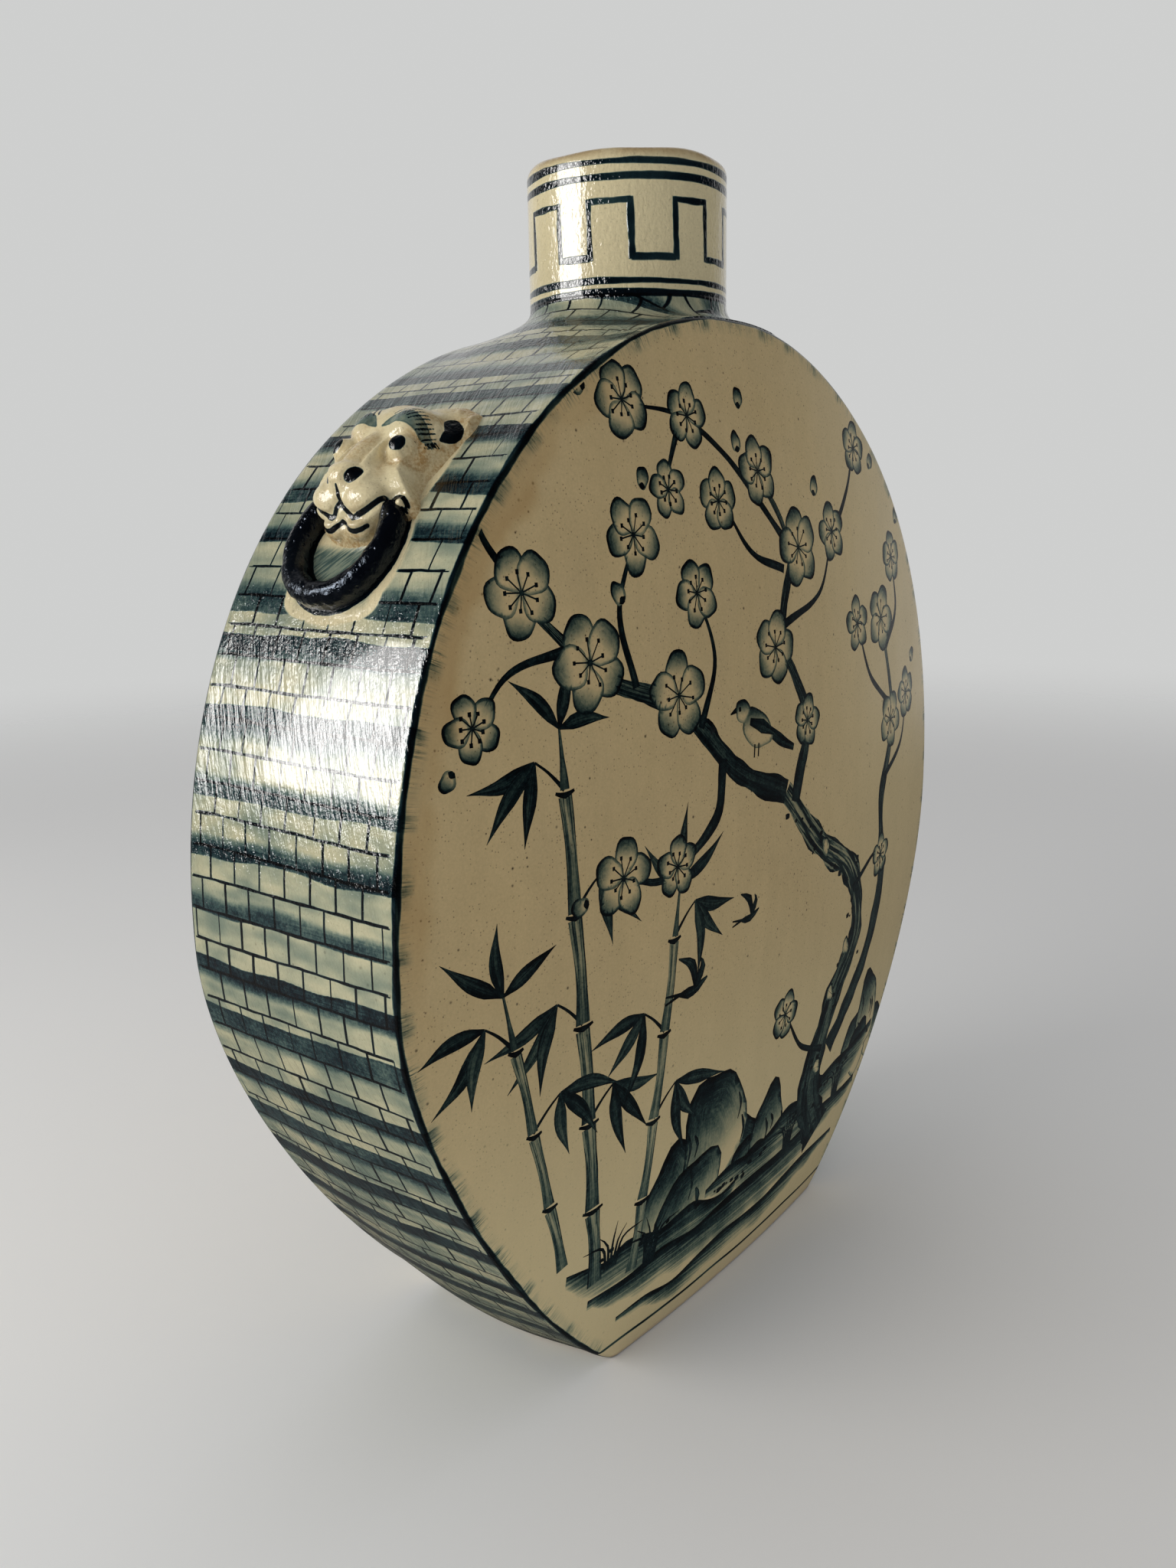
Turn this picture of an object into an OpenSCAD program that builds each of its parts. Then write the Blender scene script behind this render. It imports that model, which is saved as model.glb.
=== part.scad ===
// Pilgrim flask in glazed stoneware: two domed faces on a plain band, a short round neck,
// and on each side of the band a lion mask that holds a ring, fixed in relief.
// Millimetres, +Z up. The origin is the middle of the foot. The front face looks along -Y.

/* [Body outline] */
// Half of the body's width at its widest
body_half_w = 140.7; // [126:0.1:156]
// Height of the widest place above the foot
waist_z = 136.2; // [128:0.1:144]
// Height of the body's top, under the neck
body_top_z = 292.3; // [280:0.1:306]
// Fullness of the shoulders: 2 is an ellipse, more is squarer
shoulder_full = 2.18; // [2.02:0.01:2.4]
// Half of the foot's width, at its corners
foot_half_w = 60.8; // [54:0.1:68]
// Lean of the lower flanks at the foot, from the vertical
foot_lean = 57; // [50:0.5:60]
// How strongly the flank runs straight down from the widest place
waist_pull = 47; // [38:1:56]
// How strongly the flank runs straight up from the foot
foot_pull = 29; // [20:1:40]

/* [Faces] */
// Half of the flask's thickness at the middle of the two faces
belly_half = 51.2; // [49:0.1:56]
// Radius of each face's dome
face_r = 750; // [680:5:900]
// Height of the middle of each dome
face_z = 147; // [138:1:156]

/* [Clay] */
// Wall of each domed face
face_wall = 6.5; // [5:0.1:7.5]
// Wall of the band and of the faces' rims
band_wall = 7; // [5:0.1:9]
// Thickness of the base slab
base_t = 7; // [5:0.1:10]
// Width of the strips that make the band, between the rims of the faces
strip_w = 56; // [50:0.5:58]

/* [Foot] */
// How far the strips bulge outwards at the foot
foot_bulge = 5; // [0.5:0.1:7]
// Height at which that bulge has died away
bulge_z = 170; // [120:1:190]

/* [Neck] */
// Outer radius of the neck
neck_r = 28.9; // [27.5:0.1:31]
// Height of the neck above the body's top
neck_h = 47.7; // [40:0.1:60]
// Radius of the mouth
mouth_r = 22.5; // [18:0.1:23]
// Rounding of the rim's outer edge
lip_r = 3; // [1.5:0.1:3.6]
// Radius of the sweep from the neck into the body
neck_sweep = 9; // [6:0.1:10]
// Height of that sweep's upper end above the body's top
sweep_rise = 5.1; // [4:0.1:7]
// Rim of clay round the mouth in the saddle under the neck
saddle_rim = 3.5; // [2:0.1:4]

/* [Lion mask] */
// Height of the mask's middle on the band
mask_z = 253; // [244:0.5:256]
// Size of the mask, 1 as photographed
mask_size = 1; // [0.85:0.01:1.1]

/* [Ring] */
// How far below the mask's middle the ring's middle lies
ring_drop = 18.6; // [17:0.1:22]
// Radius of the ring, to the middle of its rod
ring_r = 15.5; // [14:0.1:17]
// Radius of the ring's rod
rod_r = 3; // [2.4:0.1:3.4]
// Height of the rod's middle above the band
rod_lift = 2.4; // [1.5:0.1:3]
// Angle at the ring's middle that the lion's mouth hides
mouth_angle = 110; // [90:1:130]

/* [Hidden] */

clay = "#d6c79f";
tan_clay = "#c2aa7c";
black_glaze = "#15181d";

shoulder_h = body_top_z - waist_z;
saddle_half = mouth_r + saddle_rim;
strip_half = strip_w / 2;
rim_z = body_top_z + neck_h;
// More than the depth of the body, for cuts that go right through
past = belly_half + 10;
edge_steps = 30;
arch_steps = 8;
bulge_steps = 8;
ball_fn = 300;
round_fn = 96;

// A point on the shoulder, drawn in by inset; turn is 0 at the top, 90 at the widest place
function shoulder_point(inset, turn) =
    [(body_half_w - inset) * pow(sin(turn), 2 / shoulder_full),
        waist_z + (shoulder_h - inset) * pow(cos(turn), 2 / shoulder_full)];

// The turn at which the shoulder is x wide
function turn_at_width(inset, x) = asin(pow(x / (body_half_w - inset), shoulder_full / 2));

// The flank is a Bezier curve from the widest place down to the foot
flank = [[body_half_w, waist_z], [body_half_w, waist_z - waist_pull],
    [foot_half_w + foot_pull * sin(foot_lean), foot_pull * cos(foot_lean)], [foot_half_w, 0]];
function flank_at(t) = pow(1 - t, 3) * flank[0] + 3 * t * pow(1 - t, 2) * flank[1]
    + 3 * t * t * (1 - t) * flank[2] + pow(t, 3) * flank[3];
function flank_run(t) = pow(1 - t, 2) * (flank[1] - flank[0])
    + 2 * t * (1 - t) * (flank[2] - flank[1]) + t * t * (flank[3] - flank[2]);
function flank_point(inset, t) =
    let (run = flank_run(t)) flank_at(t) - inset / norm(run) * [-run[1], run[0]];

// One half of the outline, from the saddle down to the foot
function half_outline(inset) =
    let (first = turn_at_width(inset, saddle_half))
    concat(
        [for (i = [0:edge_steps]) shoulder_point(inset, first + (90 - first) * i / edge_steps)],
        [for (i = [1:edge_steps - 1]) flank_point(inset, i / edge_steps)],
        [[foot_half_w - inset / cos(foot_lean), 0]]);

// The outline's height over the saddle
function arch_height(inset, x) = waist_z + (shoulder_h - inset)
    * pow(1 - pow(abs(x) / (body_half_w - inset), shoulder_full), 1 / shoulder_full);

function whole_outline(inset) =
    let (side = half_outline(inset), count = len(side))
    concat(side,
        [for (i = [count - 1:-1:0]) [-side[i][0], side[i][1]]],
        [for (i = [1:arch_steps - 1])
            let (x = saddle_half * (2 * i / arch_steps - 1)) [x, arch_height(inset, x)]]);

// The outline as a slab from y_low to y_high
module outline_slab(inset, y_low, y_high) {
    translate([0, y_high, 0])
        rotate([90, 0, 0])
            linear_extrude(height = y_high - y_low)
                polygon(whole_outline(inset));
}

// The ball whose near side is the front face
module front_ball(inset) {
    translate([0, face_r - belly_half, face_z])
        sphere(r = face_r - inset, $fn = ball_fn);
}

// Between the domes of both faces
module between_faces(inset) {
    intersection() {
        front_ball(inset);
        mirror([0, 1, 0]) front_ball(inset);
        children();
    }
}

module face_panel() {
    difference() {
        intersection() {
            outline_slab(0, -past, -strip_half);
            front_ball(0);
        }
        intersection() {
            outline_slab(band_wall, -past, -strip_half + 1);
            front_ball(face_wall);
        }
    }
}

module front_panel() {
    color(tan_clay) face_panel();
}

module back_panel() {
    color(tan_clay) mirror([0, 1, 0]) face_panel();
}

// Outward bulge of the strip at height z and at y across the band
function bulge(z, y) = z >= bulge_z ? 0
    : foot_bulge * pow(1 - z / bulge_z, 2) * (1 - pow(y / strip_half, 2));

// The strip for the half with x above 0: rings of points from the saddle to the foot
module wall_strip() {
    outer = half_outline(0);
    inner = half_outline(band_wall);
    count = len(outer);
    ring_size = bulge_steps + 3;
    points = [for (k = [0:count - 1])
        let (x = outer[k][0], z = outer[k][1])
        each concat(
            [for (j = [0:bulge_steps])
                let (y = strip_half * (2 * j / bulge_steps - 1)) [x + bulge(z, y), y, z]],
            [[inner[k][0], strip_half, inner[k][1]], [inner[k][0], -strip_half, inner[k][1]]])];
    skin = [for (k = [0:count - 2], j = [0:bulge_steps - 1])
        let (a = k * ring_size + j, b = a + 1, c = a + ring_size, d = b + ring_size)
        each [[a, c, b], [b, c, d]]];
    backs = [for (k = [0:count - 2], j = [bulge_steps:ring_size - 1])
        let (a = k * ring_size + j, b = k * ring_size + (j + 1) % ring_size,
            c = a + ring_size, d = b + ring_size)
        each [[a, c, b], [b, c, d]]];
    last = (count - 1) * ring_size;
    tip = ring_size - 1;
    ends = [for (j = [0:ring_size - 3])
        each [[tip, j, j + 1], [last + tip, last + j + 1, last + j]]];
    polyhedron(points = points, faces = concat(skin, backs, ends), convexity = 6);
}

module right_wall() {
    color(clay) wall_strip();
}

module left_wall() {
    color(clay) mirror([1, 0, 0]) wall_strip();
}

module base_slab() {
    color(clay)
        between_faces(face_wall)
            intersection() {
                outline_slab(band_wall, -past, past);
                translate([-body_half_w, -past, 0]) cube([2 * body_half_w, 2 * past, base_t]);
            }
}

// Half section of the neck's tube: a flat lip, rounded at its outer edge
module neck_section() {
    square_top = rim_z - lip_r;
    translate([mouth_r - 1, waist_z]) square([neck_r - mouth_r + 1, square_top - waist_z]);
    translate([mouth_r - 1, waist_z]) square([neck_r - lip_r - mouth_r + 1, rim_z - waist_z]);
    translate([neck_r - lip_r, square_top]) circle(r = lip_r, $fn = round_fn);
}

// Half section of the sweep from the neck into the body
module sweep_section() {
    sweep_top = body_top_z + sweep_rise;
    difference() {
        translate([mouth_r - 1, waist_z])
            square([neck_r + neck_sweep * 0.82 - mouth_r + 1, sweep_top - waist_z]);
        translate([neck_r + neck_sweep, sweep_top]) circle(r = neck_sweep, $fn = round_fn);
    }
}

module neck_collar() {
    color(clay)
        difference() {
            union() {
                difference() {
                    union() {
                        rotate_extrude($fn = round_fn) neck_section();
                        between_faces(0) rotate_extrude($fn = round_fn) sweep_section();
                    }
                    outline_slab(0, -past, past);
                }
                intersection() {
                    difference() {
                        outline_slab(0, -strip_half, strip_half);
                        outline_slab(band_wall, -past, past);
                    }
                    translate([-saddle_half, -past, waist_z])
                        cube([2 * saddle_half, 2 * past, rim_z - waist_z]);
                }
            }
            translate([0, 0, waist_z]) cylinder(r = mouth_r, h = rim_z, $fn = round_fn);
        }
}

// Width of the shoulder at height z, and the lean of its outward normal above the horizontal
function shoulder_x(z) = body_half_w
    * pow(1 - pow((z - waist_z) / shoulder_h, shoulder_full), 1 / shoulder_full);
function shoulder_lean(z) = atan2(
    pow((z - waist_z) / shoulder_h, shoulder_full - 1) / shoulder_h,
    pow(shoulder_x(z) / body_half_w, shoulder_full - 1) / body_half_w);

// Stands its children on the left shoulder at height z: +Z outwards, +X up the band, Y across it
module on_shoulder(z) {
    translate([-shoulder_x(z), 0, z])
        rotate([0, shoulder_lean(z) - 90, 0])
            children();
}

// A ball, and a rounded bar between two balls
module ball(at, r) {
    translate(at) sphere(r = r, $fn = 48);
}

module bar(from, r_from, to, r_to) {
    hull() {
        translate(from) sphere(r = r_from, $fn = 28);
        translate(to) sphere(r = r_to, $fn = 28);
    }
}

// The lion's face before its back is trimmed to the band
module lion_form() {
    // Dome of the whole face
    ball([-1, 0, -33], 40);
    // Forehead
    ball([9, 0, -1], 9.5);
    // Snout, from the brow to the nose
    bar([4, 0, 5], 5.2, [-10, 0, 7], 7);
    // Chin
    ball([-18, 0, 0], 5.5);
    for (side = [-1, 1]) {
        // Lip, cheek and eye
        ball([-13.5, side * 4.5, 4], 5.6);
        ball([-6, side * 10.5, -2.5], 9.5);
        ball([-0.5, side * 10.5, 5.6], 4.6);
        // Brow and ear
        bar([8, side * 5, 6.5], 3, [4.5, side * 14.5, 4], 2.6);
        bar([9, side * 15, 1], 4.2, [13.5, side * 18, 0.5], 3);
    }
}

// The ring before its back is trimmed to the band: a rod on a skirt, open at the lion's mouth
module ring_form() {
    rotate([0, 0, mouth_angle / 2])
        rotate_extrude(angle = 360 - mouth_angle, $fn = round_fn)
            translate([ring_r, 0]) {
                translate([0, rod_lift]) circle(r = rod_r, $fn = 40);
                translate([-rod_r, -rod_r]) square([2 * rod_r, rod_r + rod_lift]);
            }
}

module left_mask_solid() {
    difference() {
        on_shoulder(mask_z) scale(mask_size) lion_form();
        outline_slab(0, -past, past);
        on_shoulder(mask_z - ring_drop) ring_form();
    }
}

module left_ring_solid() {
    difference() {
        on_shoulder(mask_z - ring_drop) ring_form();
        outline_slab(0, -past, past);
    }
}

module left_lion_mask() {
    color(clay) left_mask_solid();
}

module right_lion_mask() {
    color(clay) mirror([1, 0, 0]) left_mask_solid();
}

module left_ring_handle() {
    color(black_glaze) left_ring_solid();
}

module right_ring_handle() {
    color(black_glaze) mirror([1, 0, 0]) left_ring_solid();
}

front_panel();
back_panel();
left_wall();
right_wall();
base_slab();
neck_collar();
left_lion_mask();
right_lion_mask();
left_ring_handle();
right_ring_handle();
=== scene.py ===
import math
import random

import bmesh
import bpy
import numpy as np
from mathutils import Matrix, Vector
from mathutils.bvhtree import BVHTree
from mathutils.geometry import delaunay_2d_cdt


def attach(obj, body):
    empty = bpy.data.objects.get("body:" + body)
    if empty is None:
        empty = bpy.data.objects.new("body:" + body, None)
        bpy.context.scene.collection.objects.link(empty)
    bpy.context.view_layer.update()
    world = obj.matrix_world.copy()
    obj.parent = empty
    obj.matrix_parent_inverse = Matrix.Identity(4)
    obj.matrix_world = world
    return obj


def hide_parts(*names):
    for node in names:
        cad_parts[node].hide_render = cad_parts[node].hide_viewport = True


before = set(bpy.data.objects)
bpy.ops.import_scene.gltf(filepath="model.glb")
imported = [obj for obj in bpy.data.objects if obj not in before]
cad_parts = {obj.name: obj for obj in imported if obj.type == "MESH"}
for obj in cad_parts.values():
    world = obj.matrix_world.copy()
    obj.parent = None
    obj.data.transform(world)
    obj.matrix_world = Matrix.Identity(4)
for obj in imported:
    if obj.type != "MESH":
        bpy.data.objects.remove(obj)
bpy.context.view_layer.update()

# Lengths here are in millimetres. They go into a mesh, the camera and the lamps through MM.
MM = 0.001

# The body's outline, as the clay pieces have it
BODY_HALF_W = 140.7
WAIST_Z = 136.2
BODY_TOP_Z = 292.3
SHOULDER_FULL = 2.18
SHOULDER_H = BODY_TOP_Z - WAIST_Z
# The hand-smoothed rise of the shoulders towards the neck, from LIFT_FAR in to LIFT_NEAR
SHOULDER_LIFT = 3.2
LIFT_NEAR = 10
LIFT_FAR = 86
FOOT_HALF_W = 60.8
FOOT_LEAN = math.radians(57)
WAIST_PULL = 47
FOOT_PULL = 29
FOOT_BULGE = 5
BULGE_Z = 170

# The domed faces
BELLY_HALF = 51.2
BOX_HALF_Y = 51.16
FACE_R = 750
FACE_Z = 147
FACE_WALL = 6.5
BAND_WALL = 7
STRIP_HALF = 28
SEAM_ROUNDING = 2.2

# The neck
NECK_R = 28.9
RIM_Z = 340
MOUTH_R = 22.5
LIP_R = 3
SWEEP_TOP = 301.5
SWEEP_END_R = 38.2
# How much further the sweep runs out along the band than across it
SWEEP_LONG = 26
SADDLE_HALF = 26

# The lion mask and its ring, measured up the band from the mask's middle
MASK_Z = 254.3
RING_DROP = 17.2
RING_SIDE = 1.0
RING_R = 15.1
ROD_R = 3.2
ROD_LIFT = 2.4
MOUTH_ANGLE = math.radians(110)

# The painted bands, as heights above the foot
NECK_LINES = (335.7, 331.9, 305.3, 302.2)
KEY_LOW = 311.5
KEY_HIGH = 326
KEY_TEETH = 8
COURSE = 8.05
BRICK = 9.3
FOOT_LINE_Z = 5.6

# Finishes, linear
TAN = (0.60, 0.46, 0.24, 1)
CREAM = (0.73, 0.635, 0.395, 1)
CLAY = (0.62, 0.50, 0.33, 1)
INK_T = (0.010, 0.033, 0.066)


# ---- helpers come below, each piece of the flask has a function of its own
def deselect():
    """Nothing is selected and nothing is active."""
    if bpy.context.object and bpy.context.object.mode != "OBJECT":
        bpy.ops.object.mode_set(mode="OBJECT")
    bpy.ops.object.select_all(action="DESELECT")


def pick(piece):
    """Only this piece is selected, and it is active."""
    deselect()
    piece.select_set(True)
    bpy.context.view_layer.objects.active = piece


def apply_all(piece):
    """Every modifier on the piece is applied, from the top."""
    pick(piece)
    for modifier in list(piece.modifiers):
        bpy.ops.object.modifier_apply(modifier=modifier.name)


def new_piece(name, points, faces):
    """A piece from points in millimetres."""
    mesh = bpy.data.meshes.new(name)
    mesh.from_pydata([Vector(p) * MM for p in points], [], faces)
    piece = bpy.data.objects.new(name, mesh)
    bpy.context.scene.collection.objects.link(piece)
    return piece


def smooth(piece, angle=60):
    """Smooth shading, but for edges sharper than the angle."""
    pick(piece)
    bpy.ops.object.shade_smooth_by_angle(angle=math.radians(angle))


def coordinates(mesh):
    """The mesh's points in millimetres, one row each."""
    flat = np.zeros(len(mesh.vertices) * 3)
    mesh.vertices.foreach_get("co", flat)
    return flat.reshape(-1, 3) / MM


def set_coordinates(mesh, points):
    mesh.vertices.foreach_set("co", (np.asarray(points) * MM).ravel())
    mesh.update()


def corner_points(mesh):
    """For each face corner, the number of its point."""
    index = np.zeros(len(mesh.loops), dtype=np.int64)
    mesh.loops.foreach_get("vertex_index", index)
    return index


def set_point_values(mesh, name, values):
    """A number at each point of the mesh, for its material to read."""
    attribute = mesh.attributes.get(name) or mesh.attributes.new(name, "FLOAT", "POINT")
    attribute.data.foreach_set("value", np.asarray(values, dtype=np.float32))


def set_point_vectors(mesh, name, rows):
    """Three numbers at each point of the mesh, for its material to read."""
    attribute = mesh.attributes.get(name) or mesh.attributes.new(name, "FLOAT_VECTOR", "POINT")
    attribute.data.foreach_set("vector", np.asarray(rows, dtype=np.float32).ravel())


def finish_piece(piece, slot, *nodes):
    """The piece rides on the flask and stands for its nodes. The slot argument is not used."""
    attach(piece, "root")
    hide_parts(*nodes)
    return piece


# The form of the body
def outline_table():
    """Arc length, x, z and the outward normal along half of the outline, from the top to past the foot."""
    turn = np.linspace(0, math.pi / 2, 3000)
    power = 2 / SHOULDER_FULL
    x = BODY_HALF_W * np.sin(turn) ** power
    z = WAIST_Z + SHOULDER_H * np.clip(np.cos(turn), 0, 1) ** power
    t = np.linspace(0, 1, 2000)[1:, None]
    pulls = np.array([
        [BODY_HALF_W, WAIST_Z],
        [BODY_HALF_W, WAIST_Z - WAIST_PULL],
        [FOOT_HALF_W + FOOT_PULL * math.sin(FOOT_LEAN), FOOT_PULL * math.cos(FOOT_LEAN)],
        [FOOT_HALF_W, 0],
    ])
    flank = ((1 - t) ** 3 * pulls[0] + 3 * t * (1 - t) ** 2 * pulls[1]
             + 3 * t * t * (1 - t) * pulls[2] + t ** 3 * pulls[3])
    below = np.linspace(0, 22, 60)[1:, None]
    tail = pulls[3] - below * np.array([math.sin(FOOT_LEAN), math.cos(FOOT_LEAN)])
    x = np.concatenate([x, flank[:, 0], tail[:, 0]])
    z = np.concatenate([z, flank[:, 1], tail[:, 1]])
    arc = np.concatenate([[0], np.cumsum(np.hypot(np.diff(x), np.diff(z)))])
    even = np.linspace(0, arc[-1], 6000)
    x = np.interp(even, arc, x)
    z = np.interp(even, arc, z)
    near_neck = np.clip((LIFT_FAR - x) / (LIFT_FAR - LIFT_NEAR), 0, 1) * (z > WAIST_Z)
    z = z + SHOULDER_LIFT * near_neck ** 2 * (3 - 2 * near_neck)
    run_x, run_z = np.gradient(x, even), np.gradient(z, even)
    length = np.hypot(run_x, run_z)
    return even, x, z, -run_z / length, run_x / length


ARC, OUT_X, OUT_Z, OUT_NX, OUT_NZ = outline_table()
FOOT_ARC = float(np.interp(0, -OUT_Z[ARC > 300], ARC[ARC > 300]))


def outline_at(arc):
    """x, z and the outward normal at an arc length; below 0 is the left half."""
    side = np.where(np.asarray(arc) < 0, -1.0, 1.0)
    a = np.abs(arc)
    return (side * np.interp(a, ARC, OUT_X), np.interp(a, ARC, OUT_Z),
            side * np.interp(a, ARC, OUT_NX), np.interp(a, ARC, OUT_NZ))


RING_ARC = float(np.interp(-(MASK_Z - RING_DROP), -OUT_Z[:3500], ARC[:3500]))


def face_depth(x, z):
    """Half of the thickness between the two domes."""
    return BELLY_HALF - FACE_R + np.sqrt(FACE_R ** 2 - x ** 2 - (z - FACE_Z) ** 2)


def seam_half(arc):
    """Half of the band's width, seam to seam."""
    x, z, _, _ = outline_at(arc)
    return face_depth(x, z)


def foot_bulge(arc, y):
    """How far the band swells outwards near the foot."""
    _, z, _, _ = outline_at(arc)
    rise = np.clip(1 - z / BULGE_Z, 0, 1.05)
    across = np.clip(1 - (y / (seam_half(arc) - SEAM_ROUNDING)) ** 2, 0, 1)
    return FOOT_BULGE * rise ** 2 * across ** 1.5


def band_point(arc, y):
    """The band's outer surface at an arc length and a place across it."""
    x, z, _, _ = outline_at(arc)
    side = np.where(np.asarray(arc) < 0, -1.0, 1.0)
    return np.stack(np.broadcast_arrays(x + side * foot_bulge(arc, y), y, z), axis=-1)


def seam_section(arc, steps):
    """The rounded corner between the band and the front dome: points, and their way from its middle."""
    x, z, nx, nz = outline_at(arc)
    cx, cz = x - SEAM_ROUNDING * nx, z - SEAM_ROUNDING * nz
    ball_y = FACE_R - BELLY_HALF
    cy = ball_y - np.sqrt((FACE_R - SEAM_ROUNDING) ** 2 - cx ** 2 - (cz - FACE_Z) ** 2)
    from_band = np.stack([nx, np.zeros_like(nx), nz], axis=-1)
    from_dome = np.stack([cx, cy - ball_y, cz - FACE_Z], axis=-1)
    from_dome /= np.linalg.norm(from_dome, axis=-1, keepdims=True)
    whole = np.arccos(np.sum(from_band * from_dome, axis=-1))
    centre = np.stack([cx, cy, cz], axis=-1)
    rows = []
    for share in np.linspace(0, 1, steps):
        a = (np.sin((1 - share) * whole) / np.sin(whole))[:, None]
        b = (np.sin(share * whole) / np.sin(whole))[:, None]
        way = SEAM_ROUNDING * whole * (share - 0.5)
        rows.append((centre + SEAM_ROUNDING * (a * from_band + b * from_dome), way))
    return rows


# Shader formulas
class Wire:
    """An output of a shader node, which can be used in a formula."""

    def __init__(self, tree, socket):
        self.tree = tree
        self.socket = socket

    def math(self, operation, *others):
        node = self.tree.nodes.new("ShaderNodeMath")
        node.operation = operation
        for slot, value in zip(node.inputs, (self, *others)):
            plug(self.tree, value, slot)
        return Wire(self.tree, node.outputs[0])

    def __add__(self, other):
        return self.math("ADD", other)

    __radd__ = __add__

    def __sub__(self, other):
        return self.math("SUBTRACT", other)

    def __rsub__(self, other):
        return (self * -1) + other

    def __mul__(self, other):
        return self.math("MULTIPLY", other)

    __rmul__ = __mul__

    def __truediv__(self, other):
        return self.math("DIVIDE", other)

    def floor(self):
        return self.math("FLOOR")

    def fract(self):
        return self.math("FRACT")

    def abs(self):
        return self.math("ABSOLUTE")

    def least(self, other):
        return self.math("MINIMUM", other)

    def most(self, other):
        return self.math("MAXIMUM", other)

    def power(self, other):
        return self.math("POWER", other)

    def ramp(self, start, end, low=0.0, high=1.0, kind="SMOOTHSTEP"):
        """Goes smoothly from low at start to high at end."""
        node = self.tree.nodes.new("ShaderNodeMapRange")
        node.interpolation_type = kind
        names = ("Value", "From Min", "From Max", "To Min", "To Max")
        for name, value in zip(names, (self, start, end, low, high)):
            plug(self.tree, value, node.inputs[name])
        return Wire(self.tree, node.outputs["Result"])


def plug(tree, value, slot):
    """A wire is linked to the socket, and a plain value is set on it."""
    if isinstance(value, Wire):
        tree.links.new(value.socket, slot)
    else:
        slot.default_value = value


def combine(tree, x, y, z):
    node = tree.nodes.new("ShaderNodeCombineXYZ")
    for slot, value in zip(node.inputs, (x, y, z)):
        plug(tree, value, slot)
    return Wire(tree, node.outputs[0])


def separate(wire):
    node = wire.tree.nodes.new("ShaderNodeSeparateXYZ")
    plug(wire.tree, wire, node.inputs[0])
    return tuple(Wire(wire.tree, out) for out in node.outputs)


def scaled(wire, x, y, z):
    """A vector with each of its parts scaled."""
    node = wire.tree.nodes.new("ShaderNodeVectorMath")
    node.operation = "MULTIPLY"
    plug(wire.tree, wire, node.inputs[0])
    node.inputs[1].default_value = (x, y, z)
    return Wire(wire.tree, node.outputs[0])


def noise(point, scale, detail=2.0, roughness=0.5, distortion=0.0):
    """Soft noise from 0 to 1, its middle at 0.5."""
    node = point.tree.nodes.new("ShaderNodeTexNoise")
    plug(point.tree, point, node.inputs["Vector"])
    node.inputs["Scale"].default_value = scale
    node.inputs["Detail"].default_value = detail
    node.inputs["Roughness"].default_value = roughness
    node.inputs["Distortion"].default_value = distortion
    return Wire(point.tree, node.outputs["Fac"])


def dice(value, seed):
    """The same random number from 0 to 1 for the same value."""
    shifted = value + seed
    node = value.tree.nodes.new("ShaderNodeTexWhiteNoise")
    node.noise_dimensions = "1D"
    plug(value.tree, shifted, node.inputs["W"])
    return Wire(value.tree, node.outputs["Value"])


def cells(point, scale, randomness=1.0):
    """Distance to the nearest of scattered points."""
    node = point.tree.nodes.new("ShaderNodeTexVoronoi")
    plug(point.tree, point, node.inputs["Vector"])
    node.inputs["Scale"].default_value = scale
    node.inputs["Randomness"].default_value = randomness
    return Wire(point.tree, node.outputs["Distance"]), Wire(point.tree, node.outputs["Color"])


def mixed(fac, first, second):
    """A colour between two colours."""
    tree = fac.tree
    node = tree.nodes.new("ShaderNodeMix")
    node.data_type = "RGBA"
    plug(tree, fac, node.inputs[0])
    plug(tree, first, node.inputs[6])
    plug(tree, second, node.inputs[7])
    return Wire(tree, node.outputs[2])


def new_group(name, inputs, outputs):
    """A shader node group and its input wires by name."""
    group = bpy.data.node_groups.new(name, "ShaderNodeTree")
    for label, kind in inputs:
        group.interface.new_socket(name=label, in_out="INPUT", socket_type=kind)
    for label, kind in outputs:
        group.interface.new_socket(name=label, in_out="OUTPUT", socket_type=kind)
    entry = group.nodes.new("NodeGroupInput")
    exit_node = group.nodes.new("NodeGroupOutput")
    return group, {out.name: Wire(group, out) for out in entry.outputs if out.name}, exit_node


def use_group(tree, group, **values):
    """A node group in a material, with its values, and its outputs by name."""
    node = tree.nodes.new("ShaderNodeGroup")
    node.node_tree = group
    for name, value in values.items():
        plug(tree, value, node.inputs[name])
    return {out.name: Wire(tree, out) for out in node.outputs}


FLOAT = "NodeSocketFloat"
VECTOR = "NodeSocketVector"
COLOR = "NodeSocketColor"


def ink_group():
    """Transparent blue black ink over a colour: the denser, the darker and the bluer."""
    group, ins, out = new_group("ink_over", [("Base", COLOR), ("Density", FLOAT)], [("Color", COLOR)])
    density = ins["Density"].most(0.0)
    through = [density.__class__(group, density.socket) for _ in range(3)]
    veils = []
    for wire, value in zip(through, INK_T):
        node = group.nodes.new("ShaderNodeMath")
        node.operation = "POWER"
        node.inputs[0].default_value = value
        plug(group, wire, node.inputs[1])
        veils.append(Wire(group, node.outputs[0]))
    veil = combine(group, *veils)
    node = group.nodes.new("ShaderNodeVectorMath")
    node.operation = "MULTIPLY"
    plug(group, ins["Base"], node.inputs[0])
    plug(group, veil, node.inputs[1])
    group.links.new(node.outputs[0], out.inputs["Color"])
    return group


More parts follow.
